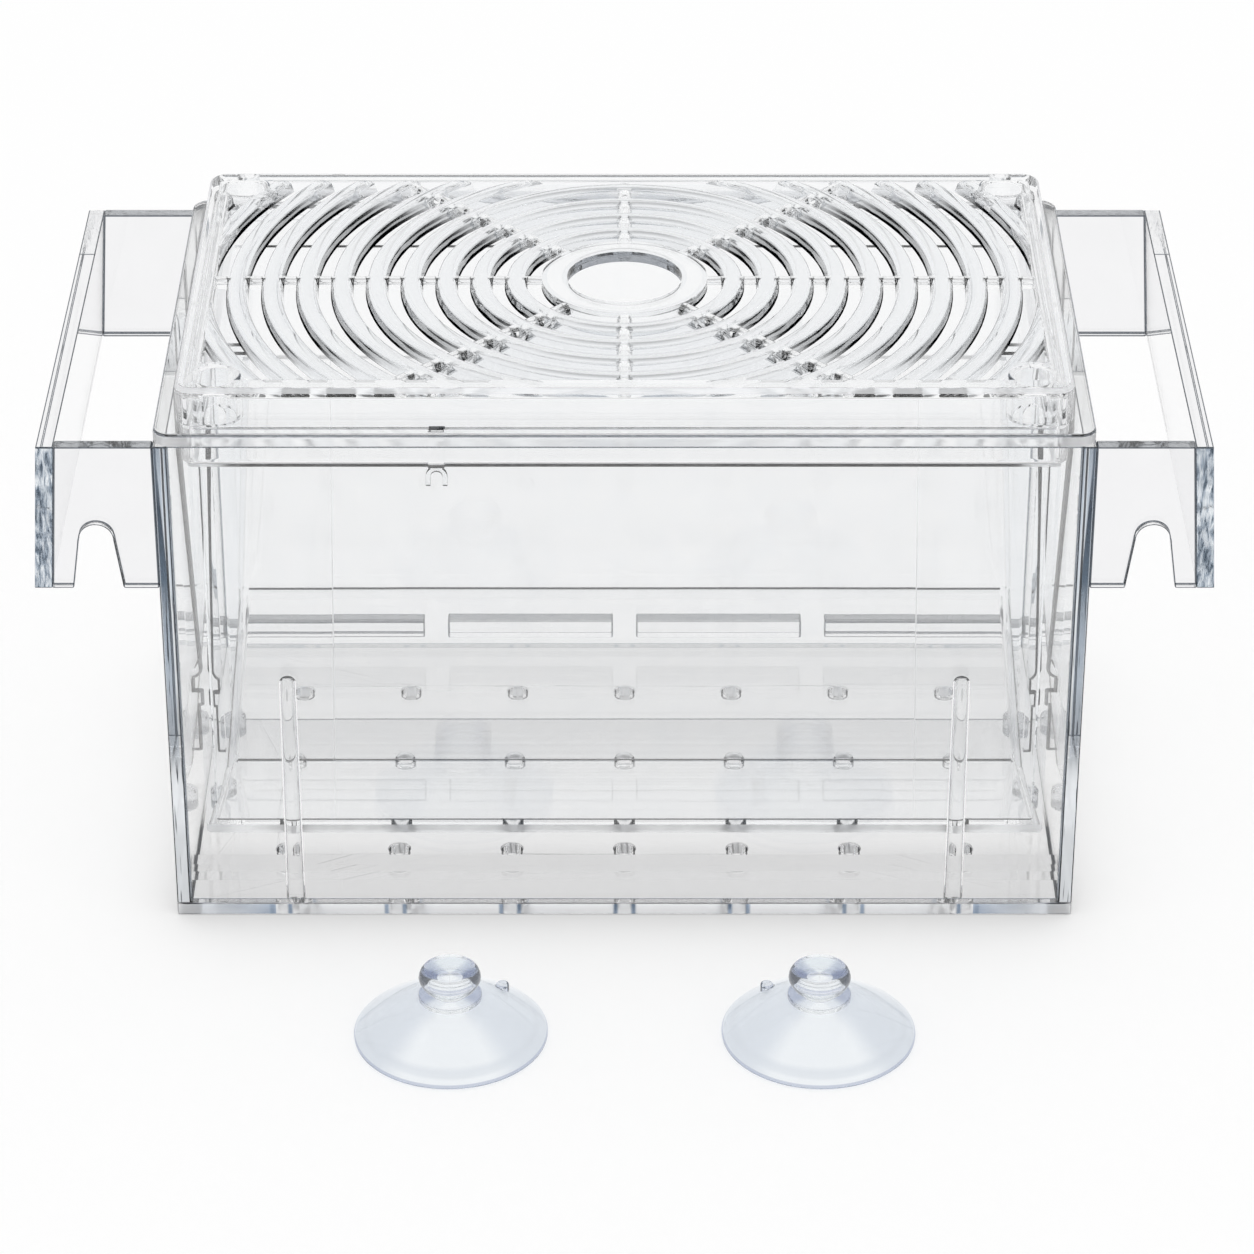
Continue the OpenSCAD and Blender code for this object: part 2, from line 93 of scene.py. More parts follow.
def makeWorld(s):
    world = bpy.data.worlds.new("studio")
    scene.world = world
    world.use_nodes = True
    tree = world.node_tree
    tree.nodes.clear()
    path = addNode(tree, "ShaderNodeLightPath")
    place = addNode(tree, "ShaderNodeTexCoord")
    axes = addNode(tree, "ShaderNodeSeparateXYZ", links={"Vector": place.outputs["Generated"]})
    # what the clear plastic shows: white behind and in front, dark rooms to both sides, a dim ceiling
    height = addNode(tree, "ShaderNodeMapRange", {
        "interpolation_type": "SMOOTHSTEP", "in:From Min": s["ceiling"][0], "in:From Max": s["ceiling"][1],
        "in:To Min": 1.0, "in:To Max": s["ceiling"][2]}, {"Value": axes.outputs["Z"]})
    across = addNode(tree, "ShaderNodeMath", {"operation": "ABSOLUTE"}, {"0": axes.outputs["X"]})
    sides = addNode(tree, "ShaderNodeMapRange", {
        "interpolation_type": "SMOOTHSTEP", "in:From Min": s["sides"][0], "in:From Max": s["sides"][1],
        "in:To Min": 1.0, "in:To Max": s["sides"][2]}, {"Value": across.outputs[0]})
    shade = addNode(tree, "ShaderNodeMath", {"operation": "MULTIPLY"},
                    {"0": height.outputs[0], "1": sides.outputs[0]})
    room = addNode(tree, "ShaderNodeMix", {
        "data_type": "RGBA", "in:6": linearFromHex(s["roomColour"]), "in:7": (1, 1, 1, 1)},
        {"0": shade.outputs[0]})
    lit = addNode(tree, "ShaderNodeBackground", {"in:Color": (1, 1, 1, 1), "in:Strength": s["worldLight"]})
    seen = addNode(tree, "ShaderNodeBackground", {"in:Strength": 1.0}, {"Color": room.outputs[2]})
    white = addNode(tree, "ShaderNodeBackground", {"in:Color": (1, 1, 1, 1), "in:Strength": 1.0})
    either = addNode(tree, "ShaderNodeMath", {"operation": "MAXIMUM"},
                     {"0": path.outputs["Is Glossy Ray"], "1": path.outputs["Is Transmission Ray"]})
    first = addNode(tree, "ShaderNodeMixShader", links={
        "0": either.outputs[0], "1": lit.outputs[0], "2": seen.outputs[0]})
    second = addNode(tree, "ShaderNodeMixShader", links={
        "0": path.outputs["Is Camera Ray"], "1": first.outputs[0], "2": white.outputs[0]})
    addNode(tree, "ShaderNodeOutputWorld", links={"Surface": second.outputs[0]})


def makeFloor(s):
    material = bpy.data.materials.new("matte white table")
    material.use_nodes = True
    tree = material.node_tree
    tree.nodes.clear()
    lit = addNode(tree, "ShaderNodeBsdfDiffuse", {"in:Color": linearFromHex(s["floorColour"])})
    glow = addNode(tree, "ShaderNodeEmission", {"in:Color": (1, 1, 1, 1), "in:Strength": 1.0})
    path = addNode(tree, "ShaderNodeLightPath")
    inGlass = addNode(tree, "ShaderNodeMath", {"operation": "MAXIMUM"},
                      {"0": path.outputs["Is Glossy Ray"], "1": path.outputs["Is Transmission Ray"]})
    glassShare = addNode(tree, "ShaderNodeMath", {"operation": "MULTIPLY", "in:1": s["floorGlowInGlass"]},
                         {"0": inGlass.outputs[0]})
    share = addNode(tree, "ShaderNodeMath", {"operation": "MULTIPLY_ADD", "in:1": s["floorGlow"]},
                    {"0": path.outputs["Is Camera Ray"], "2": glassShare.outputs[0]})
    mixed = addNode(tree, "ShaderNodeMixShader", links={
        "0": share.outputs[0], "1": lit.outputs[0], "2": glow.outputs[0]})
    addNode(tree, "ShaderNodeOutputMaterial", links={"Surface": mixed.outputs[0]})
    mesh = bpy.data.meshes.new("table")
    reach = 3.0
    mesh.from_pydata([(-reach, -reach, 0), (reach, -reach, 0), (reach, reach, 0), (-reach, reach, 0)], [],
                     [(0, 1, 2, 3)])
    table = bpy.data.objects.new("table", mesh)
    table.data.materials.append(material)
    table.location.z = -0.0002
    scene.collection.objects.link(table)


makeCamera(cameraSettings)
makeWorld(studio)
makeFloor(studio)
scene.view_settings.view_transform = "Standard"
scene.cycles.max_bounces = studio["bounces"]
scene.cycles.transmission_bounces = studio["bounces"]
scene.cycles.glossy_bounces = studio["bounces"] // 2
scene.cycles.transparent_max_bounces = studio["bounces"]
print("stage: camera, table and white studio")


# ---------- clear plastics ----------
plasticSettings = {
    # cast acrylic: laser-flat faces, a faint cloudiness from the cast
    "sheet": {"name": "cast acrylic sheet", "tint": ("#fbfbfb", "#fefefe"), "ior": 1.49, "shade": ("#959595", "#fefefe"),
              "waveMm": 60.0, "waveDepth": 0.010, "hazeMm": 9.0, "haze": (0.0, 0.012)},
    "endSheet": {"name": "cast acrylic end sheet", "tint": ("#fbfbfb", "#fefefe"), "ior": 1.49,
                 "shade": ("#dcdcdc", "#fefefe"), "waveMm": 60.0, "waveDepth": 0.010, "hazeMm": 9.0,
                 "haze": (0.0, 0.012)},
    # the wings' sheet is a little greyer, as the photograph's
    "wingSheet": {"name": "grey-cast acrylic sheet", "tint": ("#f1f1f2", "#f6f6f7"), "ior": 1.49,
                  "shade": ("#fdfdfd",), "waveMm": 60.0, "waveDepth": 0.010, "hazeMm": 9.0, "haze": (0.0, 0.012)},
    # injection moulded polystyrene: bright, with slow flow waves under the gloss
    "moulding": {"name": "moulded clear polystyrene", "tint": ("#f9fafb", "#fefefe"), "ior": 1.57,
                 "shade": ("#fefefe",), "waveMm": 22.0, "waveDepth": 0.020, "hazeMm": 6.0, "haze": (0.0, 0.015)},
    "endWall": {"name": "calm moulded polystyrene", "tint": ("#f9fafb", "#fefefe"), "ior": 1.57, "calm": 0.95,
                "shade": ("#fefefe",), "waveMm": 22.0, "waveDepth": 0.020, "hazeMm": 6.0, "haze": (0.0, 0.015)},
    "pvc": {"name": "soft clear PVC", "tint": ("#eaf1fb", "#f5f9fe"), "ior": 1.53, "shade": ("#f6f8fa",),
            "waveMm": 9.0, "waveDepth": 0.030, "hazeMm": 3.0, "haze": (0.0, 0.03)},
    # scraped or drawn edges carry the light away and read as dark lines; the dark and grey tints of darkEdge, paleEdge,
    # mouldedEdge and softRim are painted shade for these lines
    "darkEdge": {"name": "scraped acrylic edge in painted shade", "tint": ("#101318", "#2c333c"), "ior": 1.49, "shade": ("#a0a0a0", "#f4f5f6"),
                 "waveMm": 8.0, "waveDepth": 0.05, "hazeMm": 2.0, "haze": (0.02, 0.10)},
    "paleEdge": {"name": "polished acrylic edge in painted grey shade", "tint": ("#5f6771", "#8d959f"), "ior": 1.49, "shade": ("#a0a0a0", "#fafbfc"),
                 "waveMm": 8.0, "waveDepth": 0.05, "hazeMm": 2.0, "haze": (0.0, 0.06)},
    # a sawn top edge: its haze is the real rough saw cut, its dark grey tint is painted shade
    "topEdge": {"name": "sawn acrylic edge in painted shade", "tint": ("#3c4046", "#a3a7ac"), "ior": 1.49, "shade": ("#ececee",),
                "waveMm": 3.0, "waveDepth": 0.10, "hazeMm": 1.5, "haze": (0.05, 0.20)},
    "mouldedEdge": {"name": "moulded polystyrene edge in painted shade", "tint": ("#171b22", "#3a4350"), "ior": 1.57,
                    "shade": ("#f0f2f4",), "waveMm": 8.0, "waveDepth": 0.03, "hazeMm": 2.0, "haze": (0.0, 0.06)},
    "drawnSide": {"name": "drawn side of the flange", "tint": ("#f2f4f6", "#fdfdfe"), "ior": 1.25,
                  "shade": ("#fafbfc",), "waveMm": 12.0, "waveDepth": 0.03, "hazeMm": 3.0, "haze": (0.28, 0.42)},
    "satinEdge": {"name": "satin edge of the crown", "tint": ("#f0f2f5", "#fdfdfe"), "ior": 1.25, "clear": 0.45,
                  "shade": ("#fafbfc",), "waveMm": 12.0, "waveDepth": 0.03, "hazeMm": 3.0, "haze": (0.28, 0.42)},
    "frostEdge": {"name": "scraped pale acrylic edge", "tint": ("#f6f7f8", "#fdfdfd"), "ior": 1.15,
                  "shade": ("#fafbfc",), "waveMm": 5.0, "waveDepth": 0.02, "hazeMm": 2.0, "haze": (0.30, 0.45)},
    "stud": {"name": "turned acrylic stud", "tint": ("#e2e4e7", "#f2f3f5"), "ior": 1.25,
             "shade": ("#c0c0c0",), "waveMm": 2.0, "waveDepth": 0.05, "hazeMm": 1.5, "haze": (0.25, 0.45)},
    "softRim": {"name": "polished polystyrene rim in painted shade", "tint": ("#3a4049", "#80868f"), "ior": 1.57,
                "shade": ("#f0f2f4",), "waveMm": 8.0, "waveDepth": 0.03, "hazeMm": 2.0, "haze": (0.0, 0.06)},
    # bonded faces meet without a gap, so the joint hardly shows
    "bonded": {"name": "solvent bonded acrylic", "tint": ("#fafafa", "#fefefe"), "ior": 1.08, "shade": ("#959595", "#fefefe"),
               "waveMm": 60.0, "waveDepth": 0.010, "hazeMm": 9.0, "haze": (0.0, 0.012)},
    # painted shade: the dark grey tint of the hub ring's drafted wall
    "hubWall": {"name": "drafted polystyrene wall in painted shade", "tint": ("#4a4e56", "#7d828a"), "ior": 1.57,
                "shade": ("#f0f2f4",), "waveMm": 5.0, "waveDepth": 0.06, "hazeMm": 2.0, "haze": (0.02, 0.12)},
}


footShade = {"from": 8.0, "to": 20.0}    # the tank's foot lets little light through to the table


def finishGlass(tree, glass, shade):
    place = addNode(tree, "ShaderNodeTexCoord")
    axes = addNode(tree, "ShaderNodeSeparateXYZ", links={"Vector": place.outputs["Object"]})
    low = addNode(tree, "ShaderNodeMapRange", {
        "interpolation_type": "SMOOTHSTEP", "in:From Min": footShade["from"] * mm,
        "in:From Max": footShade["to"] * mm}, {"Value": axes.outputs["Z"]})
    passed = addNode(tree, "ShaderNodeMix", {
        "data_type": "RGBA", "in:6": linearFromHex(shade[0]), "in:7": linearFromHex(shade[-1])},
        {"0": low.outputs[0]})
    through = addNode(tree, "ShaderNodeBsdfTransparent", links={"Color": passed.outputs[2]})
    path = addNode(tree, "ShaderNodeLightPath")
    lampRay = addNode(tree, "ShaderNodeMath", {"operation": "MAXIMUM"},
                      {"0": path.outputs["Is Shadow Ray"], "1": path.outputs["Is Diffuse Ray"]})
    mixed = addNode(tree, "ShaderNodeMixShader", links={
        "0": lampRay.outputs[0], "1": glass.outputs[0], "2": through.outputs[0]})
    addNode(tree, "ShaderNodeOutputMaterial", links={"Surface": mixed.outputs[0]})


def clearPlastic(s):
    material = bpy.data.materials.new(s["name"])
    material.use_nodes = True
    tree = material.node_tree
    tree.nodes.clear()
    place = addNode(tree, "ShaderNodeTexCoord")
    # cloudiness in the colour and a breath of haze on the gloss
    cloud = addNode(tree, "ShaderNodeTexNoise", {"in:Scale": 1000 / s["hazeMm"], "in:Detail": 2.0},
                    {"Vector": place.outputs["Object"]})
    tint = addNode(tree, "ShaderNodeMix", {
        "data_type": "RGBA", "in:6": linearFromHex(s["tint"][0]), "in:7": linearFromHex(s["tint"][1])},
        {"0": cloud.outputs[0]})
    haze = addNode(tree, "ShaderNodeMapRange", {
        "in:From Min": 0.45, "in:From Max": 0.75, "in:To Min": s["haze"][0], "in:To Max": s["haze"][1]},
        {"Value": cloud.outputs[0]})
    wave = addNode(tree, "ShaderNodeTexNoise", {"in:Scale": 1000 / s["waveMm"], "in:Detail": 1.0},
                   {"Vector": place.outputs["Object"]})
    bump = addNode(tree, "ShaderNodeBump", {"in:Strength": 1.0, "in:Distance": s["waveDepth"] * mm},
                   {"Height": wave.outputs[0]})
    glass = addNode(tree, "ShaderNodeBsdfPrincipled", {
        "in:IOR": s["ior"], "in:Transmission Weight": s.get("clear", 1.0)}, {
        "Base Color": tint.outputs[2], "Roughness": haze.outputs[0], "Normal": bump.outputs[0]})
    if "calm" in s:
        # a wall seen nearly edge on mirrors less than a perfect surface would
        plain = addNode(tree, "ShaderNodeBsdfTransparent", links={"Color": tint.outputs[2]})
        glass = addNode(tree, "ShaderNodeMixShader", {"in:0": s["calm"]}, {
            "1": glass.outputs[0], "2": plain.outputs[0]})
    finishGlass(tree, glass, s["shade"])
    return material


plastic = {key: clearPlastic(value) for key, value in plasticSettings.items()}

streakSettings = {
    "sawn": ("#26323f", "#8b99a9", "#f6fafd"),     # dark, body and light of the saw's slanting streaks
    "streakMm": 0.75,
    "stretch": 5.5,
    "slant": 30,
    "shade": ("#c0c0c0", "#f0f2f4"),
    # painted shade and light down the end panels' front edges: the colours and the heights where they stand
    "piped": ("#4a5664", "#0a121d", "#22303f", "#8a99ab", "#b9c4d1", "#fafbfd"),
    "pipedAt": (118.5, 104.0, 86.0, 68.0, 40.0, 36.0),   # heights of those colours, mm
}


def sawnEnd(s):
    """x"""
    material = bpy.data.materials.new("sawn end of the thick acrylic")
    material.use_nodes = True
    tree = material.node_tree
    tree.nodes.clear()
    place = addNode(tree, "ShaderNodeTexCoord")
    turned = addNode(tree, "ShaderNodeMapping", {
        "in:Rotation": (0, math.radians(s["slant"]), 0),
        "in:Scale": (1000 / s["streakMm"], 100, 1000 / (s["streakMm"] * s["stretch"]))},
        {"Vector": place.outputs["Object"]})
    streaks = addNode(tree, "ShaderNodeTexNoise", {"in:Scale": 1.0, "in:Detail": 3.0, "in:Distortion": 0.6},
                      {"Vector": turned.outputs[0]})
    ramp = addNode(tree, "ShaderNodeValToRGB", links={"Fac": streaks.outputs[0]})
    dark, body, light = s["sawn"]
    ramp.color_ramp.elements[0].position = 0.36
    ramp.color_ramp.elements[0].color = linearFromHex(dark)
    ramp.color_ramp.elements[1].position = 0.59
    ramp.color_ramp.elements[1].color = linearFromHex(light)
    middle = ramp.color_ramp.elements.new(0.47)
    middle.color = linearFromHex(body)
    bump = addNode(tree, "ShaderNodeBump", {"in:Strength": 0.6, "in:Distance": 0.1 * mm},
                   {"Height": streaks.outputs[0]})
    glass = addNode(tree, "ShaderNodeBsdfPrincipled", {
        "in:IOR": 1.3, "in:Transmission Weight": 1.0, "in:Roughness": 0.05},
        {"Base Color": ramp.outputs[0], "Normal": bump.outputs[0]})
    finishGlass(tree, glass, s["shade"])
    return material


def pipedEdge(s):
    """painted light and shade down the end panels' front edges: a dark band and colours by height"""
    material = bpy.data.materials.new("polished cut edge that pipes light")
    material.use_nodes = True
    tree = material.node_tree
    tree.nodes.clear()
    place = addNode(tree, "ShaderNodeTexCoord")
    axes = addNode(tree, "ShaderNodeSeparateXYZ", links={"Vector": place.outputs["Object"]})
    across = addNode(tree, "ShaderNodeMath", {"operation": "ABSOLUTE"}, {"0": axes.outputs["X"]})
    share = addNode(tree, "ShaderNodeMapRange", {"in:From Min": 97 * mm, "in:From Max": 100 * mm},
                    {"Value": across.outputs[0]})
    # painted shade: the dark band starts as a hair near the outer side and widens downwards
    inner = addNode(tree, "ShaderNodeMapRange", {
        "in:From Min": 114 * mm, "in:From Max": 78 * mm, "in:To Min": 0.72, "in:To Max": 0.22},
        {"Value": axes.outputs["Z"]})
    past = addNode(tree, "ShaderNodeMath", {"operation": "SUBTRACT"},
                   {"0": share.outputs[0], "1": inner.outputs[0]})
    inBand = addNode(tree, "ShaderNodeMapRange", {
        "interpolation_type": "SMOOTHSTEP", "in:From Min": -0.06, "in:From Max": 0.06},
        {"Value": past.outputs[0]})
    outBand = addNode(tree, "ShaderNodeMapRange", {
        "interpolation_type": "SMOOTHSTEP", "in:From Min": 0.84, "in:From Max": 0.94,
        "in:To Min": 1.0, "in:To Max": 0.0}, {"Value": share.outputs[0]})
    band = addNode(tree, "ShaderNodeMath", {"operation": "MULTIPLY"},
                   {"0": inBand.outputs[0], "1": outBand.outputs[0]})
    height = addNode(tree, "ShaderNodeMapRange", {"in:From Min": 0.0, "in:From Max": 118.5 * mm},
                     {"Value": axes.outputs["Z"]})
    ramp = addNode(tree, "ShaderNodeValToRGB", links={"Fac": height.outputs[0]})
    stops = sorted(zip(s["pipedAt"], s["piped"]))
    ramp.color_ramp.elements[0].position = stops[0][0] / 118.5
    ramp.color_ramp.elements[0].color = linearFromHex(stops[0][1])
    ramp.color_ramp.elements[1].position = 1.0
    ramp.color_ramp.elements[1].color = linearFromHex(stops[-1][1])
    for at, colour in stops[1:-1]:
        ramp.color_ramp.elements.new(at / 118.5).color = linearFromHex(colour)
    tint = addNode(tree, "ShaderNodeMix", {"data_type": "RGBA", "in:6": linearFromHex("#f4f6f8")},
                   {"0": band.outputs[0], "7": ramp.outputs[0]})
    wave = addNode(tree, "ShaderNodeTexNoise", {"in:Scale": 60.0, "in:Detail": 1.0},
                   {"Vector": place.outputs["Object"]})
    bump = addNode(tree, "ShaderNodeBump", {"in:Strength": 1.0, "in:Distance": 0.03 * mm},
                   {"Height": wave.outputs[0]})
    glass = addNode(tree, "ShaderNodeBsdfPrincipled", {
        "in:IOR": 1.49, "in:Transmission Weight": 1.0, "in:Roughness": 0.02},
        {"Base Color": tint.outputs[2], "Normal": bump.outputs[0]})
    drawn = addNode(tree, "ShaderNodeMapping", {"in:Scale": (1000 / 0.7, 100, 1000 / 16)},
                    {"Vector": place.outputs["Object"]})
    streaks = addNode(tree, "ShaderNodeTexNoise", {"in:Scale": 1.0, "in:Detail": 2.0}, {"Vector": drawn.outputs[0]})
    marked = addNode(tree, "ShaderNodeMapRange", {"in:From Min": 0.40, "in:From Max": 0.33}, {"Value": streaks.outputs[0]})
    paleTint = addNode(tree, "ShaderNodeMix", {
        "data_type": "RGBA", "in:6": linearFromHex("#f6f9fc"), "in:7": linearFromHex("#1b2430")},
        {"0": marked.outputs[0]})
    pale = addNode(tree, "ShaderNodeBsdfPrincipled", {
        "in:IOR": 1.12, "in:Transmission Weight": 0.3, "in:Roughness": 0.12, "in:Specular IOR Level": 0.2},
        {"Base Color": paleTint.outputs[2]})
    low = addNode(tree, "ShaderNodeMapRange", {
        "interpolation_type": "SMOOTHSTEP", "in:From Min": 46 * mm, "in:From Max": 34 * mm},
        {"Value": axes.outputs["Z"]})
    glass = addNode(tree, "ShaderNodeMixShader", links={
        "0": low.outputs[0], "1": glass.outputs[0], "2": pale.outputs[0]})
    finishGlass(tree, glass, s["shade"])
    return material


# painted shade: near-black streaks along the grille bars' flanks
barShadeStreaks = {"clear": "#eef0f2", "dark": "#020304", "acrossMm": 1.1, "along": 5.0, "from": 0.42, "to": 0.60,
              "broken": 0.50, "beside": (0.68, 0.86), "wallFrom": 128.05, "wallTo": 128.30,
              "wander": 2.2, "veil": 0.22, "depth": (34.0, 44.5), "middle": 4.5}


# a dark body without a mirror on top: painted shade where a wall sends no light to the eye, and the dark of bonded
# joints
def lightlessShader(tree, colour):
    return addNode(tree, "ShaderNodeBsdfPrincipled", {
        "in:Base Color": linearFromHex(colour), "in:Roughness": 0.6, "in:Specular IOR Level": 0.0})


def barWall(s, streaks):
    """painted shade: near-black streaks on the bars' front-facing flanks, towards the left and right of the grille"""
    material = bpy.data.materials.new("grille bar flanks with painted shade streaks")
    material.use_nodes = True
    tree = material.node_tree
    tree.nodes.clear()
    place = addNode(tree, "ShaderNodeTexCoord")
    axes = addNode(tree, "ShaderNodeSeparateXYZ", links={"Vector": place.outputs["Object"]})
    level = addNode(tree, "ShaderNodeCombineXYZ", links={"X": axes.outputs["X"], "Y": axes.outputs["Y"]})
    outwards = addNode(tree, "ShaderNodeVectorMath", {"operation": "NORMALIZE"}, {"0": level.outputs[0]})
    radius = addNode(tree, "ShaderNodeVectorMath", {"operation": "LENGTH"}, {"0": level.outputs[0]})
    # how far a face leans away from the hub (+1) or towards it (-1)
    lean = addNode(tree, "ShaderNodeVectorMath", {"operation": "DOT_PRODUCT"},
                   {"0": outwards.outputs[0], "1": place.outputs["Normal"]})
    turn = addNode(tree, "ShaderNodeMath", {"operation": "ARCTAN2"}, {"0": axes.outputs["Y"], "1": axes.outputs["X"]})
    across = addNode(tree, "ShaderNodeMath", {"operation": "MULTIPLY", "in:1": 1000 / streaks["acrossMm"]},
                     {"0": radius.outputs["Value"]})
    along = addNode(tree, "ShaderNodeMath", {"operation": "MULTIPLY", "in:1": streaks["along"]},
                    {"0": turn.outputs[0]})
    lines = addNode(tree, "ShaderNodeCombineXYZ", links={"X": across.outputs[0], "Y": along.outputs[0]})
    grain = addNode(tree, "ShaderNodeTexNoise", {"in:Scale": 1.0, "in:Detail": 2.0}, {"Vector": lines.outputs[0]})
    broken = addNode(tree, "ShaderNodeMath", {
        "operation": "MULTIPLY_ADD", "in:1": streaks["broken"], "in:2": -streaks["broken"] / 2},
        {"0": grain.outputs[0]})
    steep = addNode(tree, "ShaderNodeMath", {"operation": "ABSOLUTE"}, {"0": lean.outputs["Value"]})
    wall = addNode(tree, "ShaderNodeMapRange", {
        "in:From Min": streaks["from"], "in:From Max": streaks["to"]}, {"Value": steep.outputs[0]})
    facing = addNode(tree, "ShaderNodeSeparateXYZ", links={"Vector": place.outputs["Normal"]})
    forward = addNode(tree, "ShaderNodeMapRange", {
        "in:From Min": 0.10, "in:From Max": -0.10}, {"Value": facing.outputs["Y"]})
    leaning = addNode(tree, "ShaderNodeMath", {"operation": "MULTIPLY"},
                      {"0": wall.outputs[0], "1": forward.outputs[0]})
    sideways = addNode(tree, "ShaderNodeSeparateXYZ", links={"Vector": outwards.outputs[0]})
    beside = addNode(tree, "ShaderNodeMath", {"operation": "ABSOLUTE"}, {"0": sideways.outputs["X"]})
    fading = addNode(tree, "ShaderNodeMath", {"operation": "MULTIPLY_ADD", "in:1": 0.35},
                     {"0": broken.outputs[0], "2": beside.outputs[0]})
    near = addNode(tree, "ShaderNodeMapRange", {
        "interpolation_type": "SMOOTHSTEP", "in:From Min": streaks["beside"][0], "in:From Max": streaks["beside"][1]},
        {"Value": fading.outputs[0]})
    # painted shade: the streak hugs the foot of the wall and wanders a little
    wander = addNode(tree, "ShaderNodeMath", {"operation": "MULTIPLY_ADD", "in:1": streaks["wander"] * mm},
                     {"0": broken.outputs[0], "2": axes.outputs["Z"]})
    low = addNode(tree, "ShaderNodeMapRange", {
        "interpolation_type": "SMOOTHSTEP", "in:From Min": streaks["wallFrom"] * mm,
        "in:From Max": streaks["wallTo"] * mm, "in:To Min": 1.0 - streaks["veil"], "in:To Max": 0.0},
        {"Value": wander.outputs[0]})
    fromMiddle = addNode(tree, "ShaderNodeMath", {"operation": "SUBTRACT", "in:1": streaks["middle"] * mm},
                         {"0": axes.outputs["Y"]})
    depth = addNode(tree, "ShaderNodeMath", {"operation": "ABSOLUTE"}, {"0": fromMiddle.outputs[0]})
    shallow = addNode(tree, "ShaderNodeMapRange", {
        "in:From Min": streaks["depth"][0] * mm, "in:From Max": streaks["depth"][1] * mm,
        "in:To Min": 1.0, "in:To Max": 0.0}, {"Value": depth.outputs[0]})
    nearby = addNode(tree, "ShaderNodeMath", {"operation": "MULTIPLY"},
                     {"0": near.outputs[0], "1": shallow.outputs[0]})
    veil = addNode(tree, "ShaderNodeMapRange", {
        "interpolation_type": "SMOOTHSTEP", "in:From Min": (streaks["wallTo"] + 0.3) * mm,
        "in:From Max": (streaks["wallTo"] + 1.2) * mm, "in:To Min": streaks["veil"], "in:To Max": 0.0},
        {"Value": wander.outputs[0]})
    both = addNode(tree, "ShaderNodeMath", {"operation": "ADD"}, {"0": low.outputs[0], "1": veil.outputs[0]})
    reach = addNode(tree, "ShaderNodeMath", {"operation": "MULTIPLY"}, {"0": nearby.outputs[0], "1": both.outputs[0]})
    dark = addNode(tree, "ShaderNodeMath", {"operation": "MULTIPLY"},
                   {"0": leaning.outputs[0], "1": reach.outputs[0]})
    tint = addNode(tree, "ShaderNodeMix", {
        "data_type": "RGBA", "in:6": linearFromHex(streaks["clear"]), "in:7": linearFromHex(streaks["dark"])},
        {"0": dark.outputs[0]})
    clear = addNode(tree, "ShaderNodeBsdfPrincipled", {
        "in:IOR": s["ior"], "in:Roughness": 0.0, "in:Transmission Weight": 1.0}, {"Base Color": tint.outputs[2]})
    glass = addNode(tree, "ShaderNodeMixShader", links={
        "0": dark.outputs[0], "1": clear.outputs[0], "2": lightlessShader(tree, streaks["dark"]).outputs[0]})
    finishGlass(tree, glass, s["shade"])
    return material


def deepEdge(name, colour, clear, shade):
    """near-black painted shade for holes, undersides and edges that send little light to the eye"""
    material = bpy.data.materials.new(name)
    material.use_nodes = True
    tree = material.node_tree
    tree.nodes.clear()
    place = addNode(tree, "ShaderNodeTexCoord")
    grain = addNode(tree, "ShaderNodeTexNoise", {"in:Scale": 1000 / 3.0, "in:Detail": 2.0},
                    {"Vector": place.outputs["Object"]})
    tint = addNode(tree, "ShaderNodeMix", {
        "data_type": "RGBA", "in:6": linearFromHex(colour[0]), "in:7": linearFromHex(colour[1])},
        {"0": grain.outputs[0]})
    glass = addNode(tree, "ShaderNodeBsdfPrincipled", {
        "in:IOR": 1.2, "in:Roughness": 0.15, "in:Specular IOR Level": 0.0, "in:Transmission Weight": clear},
        {"Base Color": tint.outputs[2]})
    finishGlass(tree, glass, shade)
    return material


footSettings = {"clear": ("#f8fafd", "#ffffff"), "block": "#8d9fb6", "cloud": 14.0, "pitch": 25.6, "from": 1.5,
                "to": 2.5, "soft": 0.35, "endFrom": 78.0, "endTo": 96.5, "endTint": "#a9b8cc",
                "shade": ("#a0a0a0",)}
